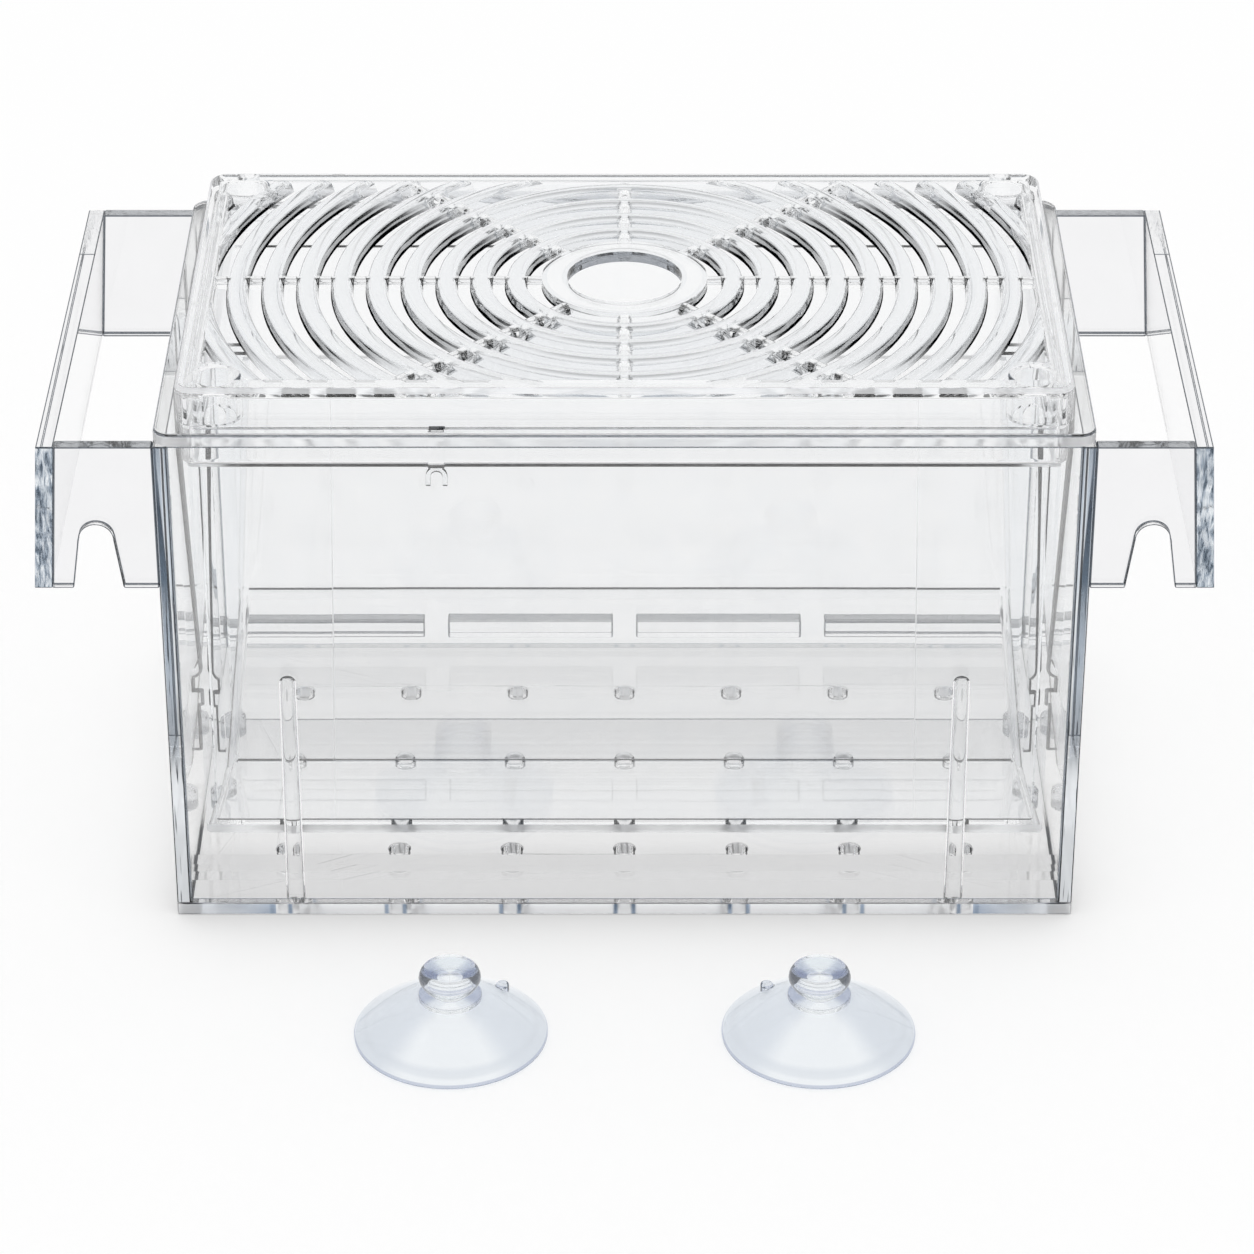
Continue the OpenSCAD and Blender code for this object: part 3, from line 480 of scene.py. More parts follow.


# polished foot of the base: pale, with blue blocks where the flow holes stand behind it; the blocks are painted images
# of those holes seen through the foot
def footEdge(s):
    material = bpy.data.materials.new("polished foot of the base")
    material.use_nodes = True
    tree = material.node_tree
    tree.nodes.clear()
    place = addNode(tree, "ShaderNodeTexCoord")
    axes = addNode(tree, "ShaderNodeSeparateXYZ", links={"Vector": place.outputs["Object"]})
    cloud = addNode(tree, "ShaderNodeTexNoise", {"in:Scale": 1000 / s["cloud"], "in:Detail": 2.0},
                    {"Vector": place.outputs["Object"]})
    pale = addNode(tree, "ShaderNodeMix", {
        "data_type": "RGBA", "in:6": linearFromHex(s["clear"][0]), "in:7": linearFromHex(s["clear"][1])},
        {"0": cloud.outputs[0]})
    across = addNode(tree, "ShaderNodeMath", {"operation": "ABSOLUTE"}, {"0": axes.outputs["X"]})
    column = addNode(tree, "ShaderNodeMath", {"operation": "PINGPONG", "in:1": s["pitch"] / 2 * mm},
                     {"0": across.outputs[0]})
    grow = addNode(tree, "ShaderNodeMapRange", {
        "interpolation_type": "SMOOTHSTEP", "in:From Min": (s["from"] - s["soft"]) * mm,
        "in:From Max": (s["from"] + s["soft"]) * mm}, {"Value": column.outputs[0]})
    fall = addNode(tree, "ShaderNodeMapRange", {
        "interpolation_type": "SMOOTHSTEP", "in:From Min": (s["to"] - s["soft"]) * mm,
        "in:From Max": (s["to"] + s["soft"]) * mm, "in:To Min": 1.0, "in:To Max": 0.0},
        {"Value": column.outputs[0]})
    inside = addNode(tree, "ShaderNodeMath", {"operation": "LESS_THAN", "in:1": 82 * mm}, {"0": across.outputs[0]})
    ring = addNode(tree, "ShaderNodeMath", {"operation": "MULTIPLY"}, {"0": grow.outputs[0], "1": fall.outputs[0]})
    block = addNode(tree, "ShaderNodeMath", {"operation": "MULTIPLY"}, {"0": ring.outputs[0], "1": inside.outputs[0]})
    end = addNode(tree, "ShaderNodeMapRange", {
        "in:From Min": s["endFrom"] * mm, "in:From Max": s["endTo"] * mm, "in:To Min": 1.0, "in:To Max": 0.0},
        {"Value": across.outputs[0]})
    past = addNode(tree, "ShaderNodeMath", {"operation": "GREATER_THAN", "in:1": s["endFrom"] * mm},
                   {"0": across.outputs[0]})
    endShare = addNode(tree, "ShaderNodeMath", {"operation": "MULTIPLY"}, {"0": end.outputs[0], "1": past.outputs[0]})
    ended = addNode(tree, "ShaderNodeMix", {"data_type": "RGBA", "in:7": linearFromHex(s["endTint"])},
                    {"0": endShare.outputs[0], "6": pale.outputs[2]})
    tint = addNode(tree, "ShaderNodeMix", {"data_type": "RGBA", "in:7": linearFromHex(s["block"])},
                   {"0": block.outputs[0], "6": ended.outputs[2]})
    glass = addNode(tree, "ShaderNodeBsdfPrincipled", {
        "in:IOR": 1.12, "in:Transmission Weight": 0.5, "in:Roughness": 0.22, "in:Specular IOR Level": 0.2},
        {"Base Color": tint.outputs[2]})
    finishGlass(tree, glass, s["shade"])
    return material


bondSettings = {"clear": ("#fbfbfb", "#fefefe"), "dark": "#0a0d12", "corner": (54.85, 55.15), "floor": (3.55, 3.8),
                "below": 85.0, "shade": ("#dcdcdc", "#fefefe")}


# inner face of an end wall: its bonded joints read as dark seams
def bondedWall(s):
    material = bpy.data.materials.new("cast acrylic with dark joint lines")
    material.use_nodes = True
    tree = material.node_tree
    tree.nodes.clear()
    place = addNode(tree, "ShaderNodeTexCoord")
    axes = addNode(tree, "ShaderNodeSeparateXYZ", links={"Vector": place.outputs["Object"]})
    cloud = addNode(tree, "ShaderNodeTexNoise", {"in:Scale": 110.0, "in:Detail": 2.0},
                    {"Vector": place.outputs["Object"]})
    pale = addNode(tree, "ShaderNodeMix", {
        "data_type": "RGBA", "in:6": linearFromHex(s["clear"][0]), "in:7": linearFromHex(s["clear"][1])},
        {"0": cloud.outputs[0]})
    depth = addNode(tree, "ShaderNodeMath", {"operation": "ABSOLUTE"}, {"0": axes.outputs["Y"]})
    corner = addNode(tree, "ShaderNodeMapRange", {
        "in:From Min": s["corner"][0] * mm, "in:From Max": s["corner"][1] * mm}, {"Value": depth.outputs[0]})
    fade = addNode(tree, "ShaderNodeMapRange", {
        "in:From Min": s["below"] * mm, "in:From Max": (s["below"] + 15) * mm, "in:To Min": 1.0, "in:To Max": 0.0},
        {"Value": axes.outputs["Z"]})
    seam = addNode(tree, "ShaderNodeMath", {"operation": "MULTIPLY"}, {"0": corner.outputs[0], "1": fade.outputs[0]})
    floor = addNode(tree, "ShaderNodeMapRange", {
        "in:From Min": s["floor"][0] * mm, "in:From Max": s["floor"][1] * mm, "in:To Min": 1.0, "in:To Max": 0.0},
        {"Value": axes.outputs["Z"]})
    dark = addNode(tree, "ShaderNodeMath", {"operation": "MAXIMUM"}, {"0": seam.outputs[0], "1": floor.outputs[0]})
    tint = addNode(tree, "ShaderNodeMix", {"data_type": "RGBA", "in:7": linearFromHex(s["dark"])},
                   {"0": dark.outputs[0], "6": pale.outputs[2]})
    clear = addNode(tree, "ShaderNodeBsdfPrincipled", {
        "in:IOR": 1.49, "in:Roughness": 0.0, "in:Transmission Weight": 1.0}, {"Base Color": tint.outputs[2]})
    glass = addNode(tree, "ShaderNodeMixShader", links={
        "0": dark.outputs[0], "1": clear.outputs[0], "2": lightlessShader(tree, s["dark"]).outputs[0]})
    finishGlass(tree, glass, s["shade"])
    return material


floorSettings = {"clear": ("#fbfbfb", "#fefefe"), "band": "#dcdcdd", "behind": (0.5, 21.4), "line": (21.7, 22.3),
                 "lineTint": "#4c4f54", "front": (-30.0, -40.0), "seam": 96.55, "seamTint": "#07090d", "shade": ("#959595", "#fefefe")}


# top of the base: two soft grey bands of painted shade and the fine line behind the tray's V
def baseTop(s):
    material = bpy.data.materials.new("cast acrylic floor")
    material.use_nodes = True
    tree = material.node_tree
    tree.nodes.clear()
    place = addNode(tree, "ShaderNodeTexCoord")
    axes = addNode(tree, "ShaderNodeSeparateXYZ", links={"Vector": place.outputs["Object"]})
    cloud = addNode(tree, "ShaderNodeTexNoise", {"in:Scale": 110.0, "in:Detail": 2.0},
                    {"Vector": place.outputs["Object"]})
    pale = addNode(tree, "ShaderNodeMix", {
        "data_type": "RGBA", "in:6": linearFromHex(s["clear"][0]), "in:7": linearFromHex(s["clear"][1])},
        {"0": cloud.outputs[0]})
    rise = addNode(tree, "ShaderNodeMapRange", {
        "in:From Min": s["behind"][0] * mm, "in:From Max": s["behind"][1] * mm}, {"Value": axes.outputs["Y"]})
    stop = addNode(tree, "ShaderNodeMath", {"operation": "LESS_THAN", "in:1": s["line"][1] * mm},
                   {"0": axes.outputs["Y"]})
    behind = addNode(tree, "ShaderNodeMath", {"operation": "MULTIPLY"}, {"0": rise.outputs[0], "1": stop.outputs[0]})
    front = addNode(tree, "ShaderNodeMapRange", {
        "interpolation_type": "SMOOTHSTEP", "in:From Min": s["front"][0] * mm, "in:From Max": s["front"][1] * mm},
        {"Value": axes.outputs["Y"]})
    share = addNode(tree, "ShaderNodeMath", {"operation": "MAXIMUM"}, {"0": behind.outputs[0], "1": front.outputs[0]})
    banded = addNode(tree, "ShaderNodeMix", {"data_type": "RGBA", "in:7": linearFromHex(s["band"])},
                     {"0": share.outputs[0], "6": pale.outputs[2]})
    past = addNode(tree, "ShaderNodeMath", {"operation": "GREATER_THAN", "in:1": s["line"][0] * mm},
                   {"0": axes.outputs["Y"]})
    line = addNode(tree, "ShaderNodeMath", {"operation": "MULTIPLY"}, {"0": past.outputs[0], "1": stop.outputs[0]})
    tint = addNode(tree, "ShaderNodeMix", {"data_type": "RGBA", "in:7": linearFromHex(s["lineTint"])},
                   {"0": line.outputs[0], "6": banded.outputs[2]})
    beside = addNode(tree, "ShaderNodeMath", {"operation": "ABSOLUTE"}, {"0": axes.outputs["X"]})
    joint = addNode(tree, "ShaderNodeMath", {"operation": "GREATER_THAN", "in:1": s["seam"] * mm},
                    {"0": beside.outputs[0]})
    near = addNode(tree, "ShaderNodeMapRange", {"in:From Min": -15 * mm, "in:From Max": -26 * mm},
                   {"Value": axes.outputs["Y"]})
    seam = addNode(tree, "ShaderNodeMath", {"operation": "MULTIPLY"}, {"0": joint.outputs[0], "1": near.outputs[0]})
    seamed = addNode(tree, "ShaderNodeMix", {"data_type": "RGBA", "in:7": linearFromHex(s["seamTint"])},
                     {"0": seam.outputs[0], "6": tint.outputs[2]})
    glass = addNode(tree, "ShaderNodeBsdfPrincipled", {
        "in:IOR": 1.49, "in:Transmission Weight": 1.0, "in:Roughness": 0.0}, {"Base Color": seamed.outputs[2]})
    finishGlass(tree, glass, s["shade"])
    return material


finSettings = {"clear": ("#f9fafb", "#fefefe"), "dark": "#06080b", "edge": 95.55, "at": 30.1, "slope": 0.0446,
               "shade": ("#fefefe",)}


# face of a tray fin: clear, with a painted shade line that runs down its outer edge
def finFace(s):
    material = bpy.data.materials.new("moulded fin with a painted shade line on its outer edge")
    material.use_nodes = True
    tree = material.node_tree
    tree.nodes.clear()
    place = addNode(tree, "ShaderNodeTexCoord")
    axes = addNode(tree, "ShaderNodeSeparateXYZ", links={"Vector": place.outputs["Object"]})
    cloud = addNode(tree, "ShaderNodeTexNoise", {"in:Scale": 110.0, "in:Detail": 2.0},
                    {"Vector": place.outputs["Object"]})
    pale = addNode(tree, "ShaderNodeMix", {
        "data_type": "RGBA", "in:6": linearFromHex(s["clear"][0]), "in:7": linearFromHex(s["clear"][1])},
        {"0": cloud.outputs[0]})
    across = addNode(tree, "ShaderNodeMath", {"operation": "ABSOLUTE"}, {"0": axes.outputs["X"]})
    past = addNode(tree, "ShaderNodeMath", {"operation": "MULTIPLY_ADD", "in:1": s["slope"]},
                   {"0": axes.outputs["Z"], "2": across.outputs[0]})
    start = (s["edge"] + s["slope"] * s["at"]) * mm
    dark = addNode(tree, "ShaderNodeMapRange", {"in:From Min": start, "in:From Max": start + 0.1 * mm},
                   {"Value": past.outputs[0]})
    clear = addNode(tree, "ShaderNodeBsdfPrincipled", {
        "in:IOR": 1.57, "in:Roughness": 0.0, "in:Transmission Weight": 1.0}, {"Base Color": pale.outputs[2]})
    glass = addNode(tree, "ShaderNodeMixShader", links={
        "0": dark.outputs[0], "1": clear.outputs[0], "2": lightlessShader(tree, s["dark"]).outputs[0]})
    finishGlass(tree, glass, s["shade"])
    return material


plastic["finFace"] = finFace(finSettings)
plastic["baseTop"] = baseTop(floorSettings)
plastic["footEdge"] = footEdge(footSettings)
plastic["bondedWall"] = bondedWall(bondSettings)
plastic["sawnEnd"] = sawnEnd(streakSettings)
plastic["pipedEdge"] = pipedEdge(streakSettings)
plastic["barWall"] = barWall(plasticSettings["moulding"], barShadeStreaks)
plastic["deepEdge"] = deepEdge("edge that holds no light", ("#08090c", "#20252c"), 0.12, ("#f0f2f4",))
print("stage: plastics made,", len(plastic), "finishes")


# ---------- mesh helpers ----------
def roundedLoop(halfX, halfY, radius, z, steps=6):
    """x"""
    points = []
    for cornerX, cornerY, start in ((1, 1, 0), (-1, 1, 90), (-1, -1, 180), (1, -1, 270)):
        for i in range(steps + 1):
            angle = math.radians(start + 90 * i / steps)
            points.append(((cornerX * (halfX - radius) + radius * math.cos(angle)) * mm,
                           (cornerY * (halfY - radius) + radius * math.sin(angle)) * mm, z * mm))
    return points


def meshFromLoops(loops, closed=False):
    """x"""
    bm = bmesh.new()
    rows = [[bm.verts.new(p) for p in loop] for loop in loops]
    count = len(rows[0])
    pairs = list(zip(rows, rows[1:])) + ([(rows[-1], rows[0])] if closed else [])
    for low, high in pairs:
        for i in range(count):
            j = (i + 1) % count
            bm.faces.new((low[i], low[j], high[j], high[i]))
    if not closed:
        bm.faces.new(list(reversed(rows[0])))
        bm.faces.new(rows[-1])
    bmesh.ops.recalc_face_normals(bm, faces=bm.faces)
    return bm


def asObject(bm, name):
    mesh = bpy.data.meshes.new(name)
    bm.to_mesh(mesh)
    bm.free()
    piece = bpy.data.objects.new(name, mesh)
    scene.collection.objects.link(piece)
    return piece


def lathe(profile, segments, centre=(0, 0)):
    """profile is a closed list of (radius, height)"""
    loops = []
    for i in range(segments):
        angle = 2 * math.pi * i / segments
        loops.append([((centre[0] + r * math.cos(angle)) * mm, (centre[1] + r * math.sin(angle)) * mm, z * mm)
                      for r, z in profile])
    return meshFromLoops(loops, closed=True)


def prism(outline, start, end, toPoint):
    return meshFromLoops([[toPoint(a, b, t) for a, b in outline] for t in (start, end)])


def freeze(piece):
    """x"""
    graph = bpy.context.evaluated_depsgraph_get()
    mesh = bpy.data.meshes.new_from_object(piece.evaluated_get(graph))
    piece.modifiers.clear()
    piece.data = mesh


def combine(base, tools, operation):
    for tool in tools:
        step = base.modifiers.new("step", "BOOLEAN")
        step.object = tool
        step.operation = operation
        step.solver = "MANIFOLD"
        freeze(base)
    for tool in tools:
        bpy.data.objects.remove(tool)
    return base


def finishPiece(piece, body, materials, replaced, choose=None, angle=35):
    mesh = piece.data
    mesh.materials.clear()
    for material in materials:
        mesh.materials.append(material)
    mesh.polygons.foreach_set("use_smooth", [True] * len(mesh.polygons))
    picked = [choose(face.center / mm, face.normal) if choose else 0 for face in mesh.polygons]
    mesh.polygons.foreach_set("material_index", picked)
    mesh.set_sharp_from_angle(angle=math.radians(angle))
    even = piece.modifiers.new("evenNormals", "WEIGHTED_NORMAL")
    even.keep_sharp = True
    even.weight = 90
    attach(piece, body)
    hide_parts(*replaced)


def filletOutline(corners, steps=5):
    """x"""
    points = []
    count = len(corners)
    for i, (y, z, r) in enumerate(corners):
        if r <= 0:
            points.append((y, z))
            continue
        before, after = corners[i - 1], corners[(i + 1) % count]
        ay, az = before[0] - y, before[1] - z
        by, bz = after[0] - y, after[1] - z
        la, lb = math.hypot(ay, az), math.hypot(by, bz)
        ay, az, by, bz = ay / la, az / la, by / lb, bz / lb
        half = math.acos(max(-1, min(1, ay * by + az * bz))) / 2
        reach = r / math.tan(half)
        my, mz = ay + by, az + bz
        lm = math.hypot(my, mz)
        cy, cz = y + my / lm * r / math.sin(half), z + mz / lm * r / math.sin(half)
        sy, sz = y + ay * reach - cy, z + az * reach - cz
        ey, ez = y + by * reach - cy, z + bz * reach - cz
        turn = math.atan2(sy * ez - sz * ey, sy * ey + sz * ez)
        for k in range(steps + 1):
            a = turn * k / steps
            points.append((cy + sy * math.cos(a) - sz * math.sin(a), cz + sy * math.sin(a) + sz * math.cos(a)))
    return points


# ---------- lid ----------
lidSettings = {
    "half": (100.0, 58.6),        # flange
    "crownHalf": (95.35, 54.3),
    "skirtHalf": (94.4, 53.9),
    "cornerRadius": 4.0,
    "wall": 2.2,
    "levels": {"skirt": 112.5, "rim": 118.53, "crown": 121.3, "bars": 127.3, "top": 130.1},
    "border": 5.0,
    "ringWidth": 4.0,
    "ringPitch": 7.675,
    "hub": (12.7, 18.3),
    "rings": 13,
    "spokeWidth": 2.9,
    "barRise": 0.8,               # how far a bar's round top stands above its walls
    "hubRise": 0.15,
    "barDraft": 0.5,              # a bar's foot is this much wider on each side
    "spokeRise": 0.9,
    "bossRadius": 5.8,
    "bossWall": 1.5,
    "bossPlace": (86.95, 46.9),
    "catch": {"x": -40.0, "width": 3.4, "proud": 1.3, "low": 112.0, "loopWider": 1.2, "loopHeight": 4.0,
              "leg": 1.0, "thick": 0.9, "lap": 0.4},
}


# section of a bar: drafted walls, a small radius at the foot and a low round crest
def barProfile(inner, outer, low, high, rise, draft):
    small = 0.3
    points = []
    for cx, start in ((outer + draft - small, 270), (inner - draft + small, 180)):
        points.append([(cx + small * math.cos(math.radians(start + 45 * i)),
                        low + small + small * math.sin(math.radians(start + 45 * i))) for i in range(3)])
    middle, half = (inner + outer) / 2, (outer - inner) / 2
    crest = [(middle + half * math.cos(math.radians(a)), high - rise + rise * math.sin(math.radians(a)))
             for a in range(0, 181, 18)]
    return points[0] + crest + points[1]


def filletLoops(halfX, halfY, corner, low, high, lowRound, highRound, steps=4):
    """loops of a block with rounded upright corners and rounded rims"""
    loops = []
    for i in range(steps + 1):
        angle = math.pi / 2 * i / steps
        inset = lowRound * (1 - math.sin(angle))
        loops.append((inset, low + lowRound * (1 - math.cos(angle))))
    for i in range(steps + 1):
        angle = math.pi / 2 * i / steps
        loops.append((highRound * (1 - math.cos(angle)), high - highRound * (1 - math.sin(angle))))
    return [roundedLoop(halfX - inset, halfY - inset, max(corner - inset, 0.3), z) for inset, z in loops]


def addCatch(lid, s):
    c = s["catch"]
    front = -s["skirtHalf"][1]
    half = c["width"] / 2

    def toPoint(a, b, t):
        return ((c["x"] + a) * mm, t * mm, b * mm)

    strip = [(half, c["low"]), (half, s["levels"]["rim"] + 0.3), (-half, s["levels"]["rim"] + 0.3),
             (-half, c["low"])]
    combine(lid, [asObject(prism(strip, front - c["proud"], front + 0.6, toPoint), "strip")], "UNION")
    outer = half + c["loopWider"] / 2
    inner = outer - c["leg"]
    archZ = c["low"] - outer + c["lap"]
    foot = c["low"] - c["loopHeight"]
    arc = [math.radians(a) for a in range(0, 181, 15)]
    loop = [(outer * math.cos(a), archZ + outer * math.sin(a)) for a in arc]
    loop += [(-outer, foot), (-inner, foot)]
    loop += [(inner * math.cos(a), archZ + inner * math.sin(a)) for a in reversed(arc)]
    loop += [(inner, foot), (outer, foot)]
    combine(lid, [asObject(prism(loop, front - c["proud"], front - c["proud"] + c["thick"], toPoint), "loop")],
            "UNION")


def makeLid(s):
    levels = s["levels"]
    wall = s["wall"]
    crownX, crownY = s["crownHalf"]
    inX, inY = crownX - wall, crownY - wall
    fieldX, fieldY = crownX - s["border"], crownY - s["border"]
    lid = asObject(meshFromLoops(filletLoops(crownX, crownY, s["cornerRadius"], levels["rim"] + 0.5,
                                             levels["top"], 0.02, 1.1)), "lid_moulding")
    flange = asObject(meshFromLoops(filletLoops(*s["half"], s["cornerRadius"], levels["rim"], levels["crown"],
                                                0.3, 0.7)), "flange")
    skirt = asObject(meshFromLoops(filletLoops(*s["skirtHalf"], s["cornerRadius"] - 1, levels["skirt"],
                                               levels["rim"] + 1, 0.3, 0.02)), "skirt")
    combine(lid, [flange, skirt], "UNION")
    cavity = asObject(meshFromLoops(filletLoops(inX, inY, s["cornerRadius"] - wall, levels["rim"] + 0.6,
                                                levels["bars"], 0.02, 0.6)), "cavity")
    skirtX, skirtY = s["skirtHalf"][0] - wall, s["skirtHalf"][1] - wall
    lowCavity = asObject(meshFromLoops([
        roundedLoop(skirtX + 0.6, skirtY + 0.6, 1.2, levels["skirt"] - 1),
        roundedLoop(skirtX + 0.5, skirtY + 0.5, 1.2, levels["skirt"]),
        roundedLoop(skirtX + 0.1, skirtY + 0.1, 1.0, levels["skirt"] + 0.4),
        roundedLoop(skirtX, skirtY, 1.0, levels["skirt"] + 0.8),
        roundedLoop(skirtX, skirtY, 1.0, levels["rim"] + 1.2)]), "lowCavity")
    window = asObject(meshFromLoops([
        roundedLoop(fieldX, fieldY, 2.0, levels["bars"] - 1),
        roundedLoop(fieldX, fieldY, 2.0, levels["top"] - 0.8),
        roundedLoop(fieldX + 0.12, fieldY + 0.12, 2.1, levels["top"] - 0.4),
        roundedLoop(fieldX + 0.4, fieldY + 0.4, 2.4, levels["top"] - 0.12),
        roundedLoop(fieldX + 0.8, fieldY + 0.8, 2.8, levels["top"] + 0.01),
        roundedLoop(fieldX + 0.8, fieldY + 0.8, 2.8, levels["top"] + 1)]), "window")
    combine(lid, [cavity, lowCavity, window], "DIFFERENCE")
    bars = []
    inner, outer = s["hub"]
    gap = s["ringPitch"] - s["ringWidth"]
    for k in range(s["rings"]):
        segments = max(72, int(2 * math.pi * outer / 3.2) // 8 * 8)
        rise = s["barRise"] if k else s["hubRise"]
        ring = asObject(lathe(barProfile(inner, outer, levels["bars"], levels["top"] - 0.02, rise,
                                    s["barDraft"] if k else 0.0),
                              segments), "ring")
        bars.append(ring)
        inner, outer = outer + gap, outer + gap + s["ringWidth"]
    grille = bars.pop(0)
    for ring in bars:
        combine(grille, [ring], "UNION")
    reach = 120
    half = s["spokeWidth"] / 2
    for k in range(8):
        turn = math.radians(45 * k)
        spoke = asObject(prism(barProfile(-half, half, levels["bars"] + 0.3, levels["top"] - 0.3,
                                         s["spokeRise"], s["barDraft"] / 2),
                               s["hub"][1] - 1.5, reach,
                               lambda a, b, t: ((t * math.cos(turn) - a * math.sin(turn)) * mm,
                                                (t * math.sin(turn) + a * math.cos(turn)) * mm, b * mm)), "spoke")
        combine(grille, [spoke], "UNION")
    field = asObject(meshFromLoops([roundedLoop(fieldX + 1.6, fieldY + 1.6, 3.0, levels["bars"] - 1),
                                    roundedLoop(fieldX + 1.6, fieldY + 1.6, 3.0, levels["top"] + 1)]), "field")
    combine(grille, [field], "INTERSECT")
    combine(lid, [grille], "UNION")
    for x in (-1, 1):
        for y in (-1, 1):
            place = (x * s["bossPlace"][0], y * s["bossPlace"][1])
            r, inside = s["bossRadius"], s["bossRadius"] - s["bossWall"]
            disc = asObject(meshFromLoops([
                [((place[0] + rr * math.cos(a)) * mm, (place[1] + rr * math.sin(a)) * mm, z * mm)
                 for a in [2 * math.pi * i / 48 for i in range(48)]]
                for rr, z in ((r, levels["crown"] - 0.5), (r, levels["top"] - 0.62), (r - 0.18, levels["top"] - 0.2),
                              (r - 0.6, levels["top"] - 0.01))]), "boss")
            bore = asObject(meshFromLoops([
                [((place[0] + rr * math.cos(a)) * mm, (place[1] + rr * math.sin(a)) * mm, z * mm)
                 for a in [2 * math.pi * i / 48 for i in range(48)]]
                for rr, z in ((inside, levels["crown"] - 2), (inside, levels["bars"]))]), "bore")
            combine(lid, [disc], "UNION")
            combine(lid, [bore], "DIFFERENCE")
    addCatch(lid, s)

    # the lid's dark finishes (mouldedEdge, hubWall, barWall, softRim, deepEdge) are painted shade
    def choose(at, normal):
        radius = math.hypot(at.x, at.y)
        flat = math.hypot(normal.x, normal.y)
        if at.z > levels["bars"] + 0.05 and abs(at.x) < fieldX and abs(at.y) < fieldY:
            if radius < s["hub"][0] + 0.4 and flat > 0.9:
                return 2 if at.y > -3 else 0
            if flat > 0.05 and abs(normal.x * at.x + normal.y * at.y) > 0.93 * flat * radius:
                return 3
        if at.z > levels["bars"] and fieldY - 0.2 < abs(at.y) < fieldY + 0.9 and abs(normal.y) > 0.5:
            return 4
        atCrown = max(abs(at.x) - crownX, abs(at.y) - crownY) > -1.3
        if at.z > levels["top"] - 1.25 and atCrown and 0.05 < normal.z < 0.97:
            return 6
        outwards = normal.y < 0 and abs(normal.y) > abs(normal.x)
        if at.y < 0 and at.z < levels["skirt"] + 0.3 and -0.95 < normal.z < -0.3 and outwards and at.z > levels["skirt"] - 0.1:
            return 1
        atRim = max(abs(at.x) - s["half"][0], abs(at.y) - s["half"][1]) > -1.2
        if levels["rim"] - 0.01 < at.z < levels["crown"] and atRim:
            if 0.5 < normal.z < 0.88 and at.z > levels["crown"] - 0.45:
                return 5
            if normal.z < 0.9:
                return 4
        bossX, bossY = abs(at.x) - s["bossPlace"][0], abs(at.y) - s["bossPlace"][1]
        reach = math.hypot(bossX, bossY)
        if s["bossRadius"] - 0.5 < reach < s["bossRadius"] + 0.05 and at.z > levels["top"] - 0.7 \
                and abs(bossX) > 0.7 * reach and normal.z < 0.95:
            return 1
        if abs(at.x - s["catch"]["x"]) < 3 and at.z < levels["rim"] and at.y < -s["skirtHalf"][1] - 0.05 \
                and abs(normal.y) < 0.5:
            return 7 if at.z < levels["skirt"] else 1
        return 0

    finishPiece(lid, "lid", [plastic["moulding"], plastic["mouldedEdge"], plastic["hubWall"], plastic["barWall"],
                             plastic["drawnSide"], plastic["softRim"], plastic["satinEdge"],
                             plastic["deepEdge"]],
                ["lid"], choose)
    return lid


lid = makeLid(lidSettings)
print("lid:", len(lid.data.vertices), "points")


# ---------- breeding tray ----------
traySettings = {
    "half": (93.0, 54.0),
    "wall": 2.0,
    "top": 112.0,
    "shoulder": 19.3,
    "valley": 3.4,
    "outerRound": (1.5, 0.9),      # along the shoulders, and on the upright corners
    "innerRound": (0.7, 0.9),
    "strip": 2.4,                  # width of the frosted strips along corners and shoulders
    "innerLift": 1.4,              # the floor thickens towards its shoulders
    "holeRadius": 2.4,
    "holePitch": 25.6,
    "holes": 7,
    "guide": {"near": 1.3, "thick": 1.6, "foot": 5.8, "footWidth": 0.8, "topWidth": 7.6},
    "fin": {"half": 1.0, "reach": 3.5, "foot": 27.7, "footRound": 2.4, "tip": 100.0, "tipWidth": 0.8,
            "lug": (20.4, 24.0), "web": 1.5, "strip": 2.6, "stripFoot": 8.24},
}


def traySection(s, inset, x, top, rounded, lift):
    halfY = s["half"][1] - inset
    slope = (s["shoulder"] - s["valley"]) / s["half"][1]
    valley = s["valley"] + inset * math.hypot(1, slope)
    shoulder = valley + slope * halfY + lift
    strip = s["strip"]
    outline = filletOutline([
        (-halfY, top, 0), (-halfY, shoulder + strip, 0), (-halfY, shoulder, rounded),
        (-halfY + strip, shoulder - strip * (shoulder - valley) / halfY, 0), (0, valley, rounded * 0.8),
        (halfY - strip, shoulder - strip * (shoulder - valley) / halfY, 0), (halfY, shoulder, rounded),
        (halfY, shoulder + strip, 0), (halfY, top, 0)])
    return [(x * mm, y * mm, z * mm) for y, z in outline]


def trayBlock(s, inset, top, rounded, endRound, lift):
    halfX = s["half"][0] - inset
    loops = []
    steps = 5
    for side in (-1, 1):
        row = []
        for i in range(steps + 1):
            a = math.pi / 2 * i / steps
            drawn = endRound * (1 - math.sin(a))
            row.append(traySection(s, inset + drawn, side * (halfX - endRound * (1 - math.cos(a))), top,
                                   max(rounded - drawn * 0.6, 0.5), lift))
        row.append(traySection(s, inset, side * (halfX - s["strip"]), top, rounded, lift))
        loops += row if side < 0 else list(reversed(row))
    return meshFromLoops(loops)


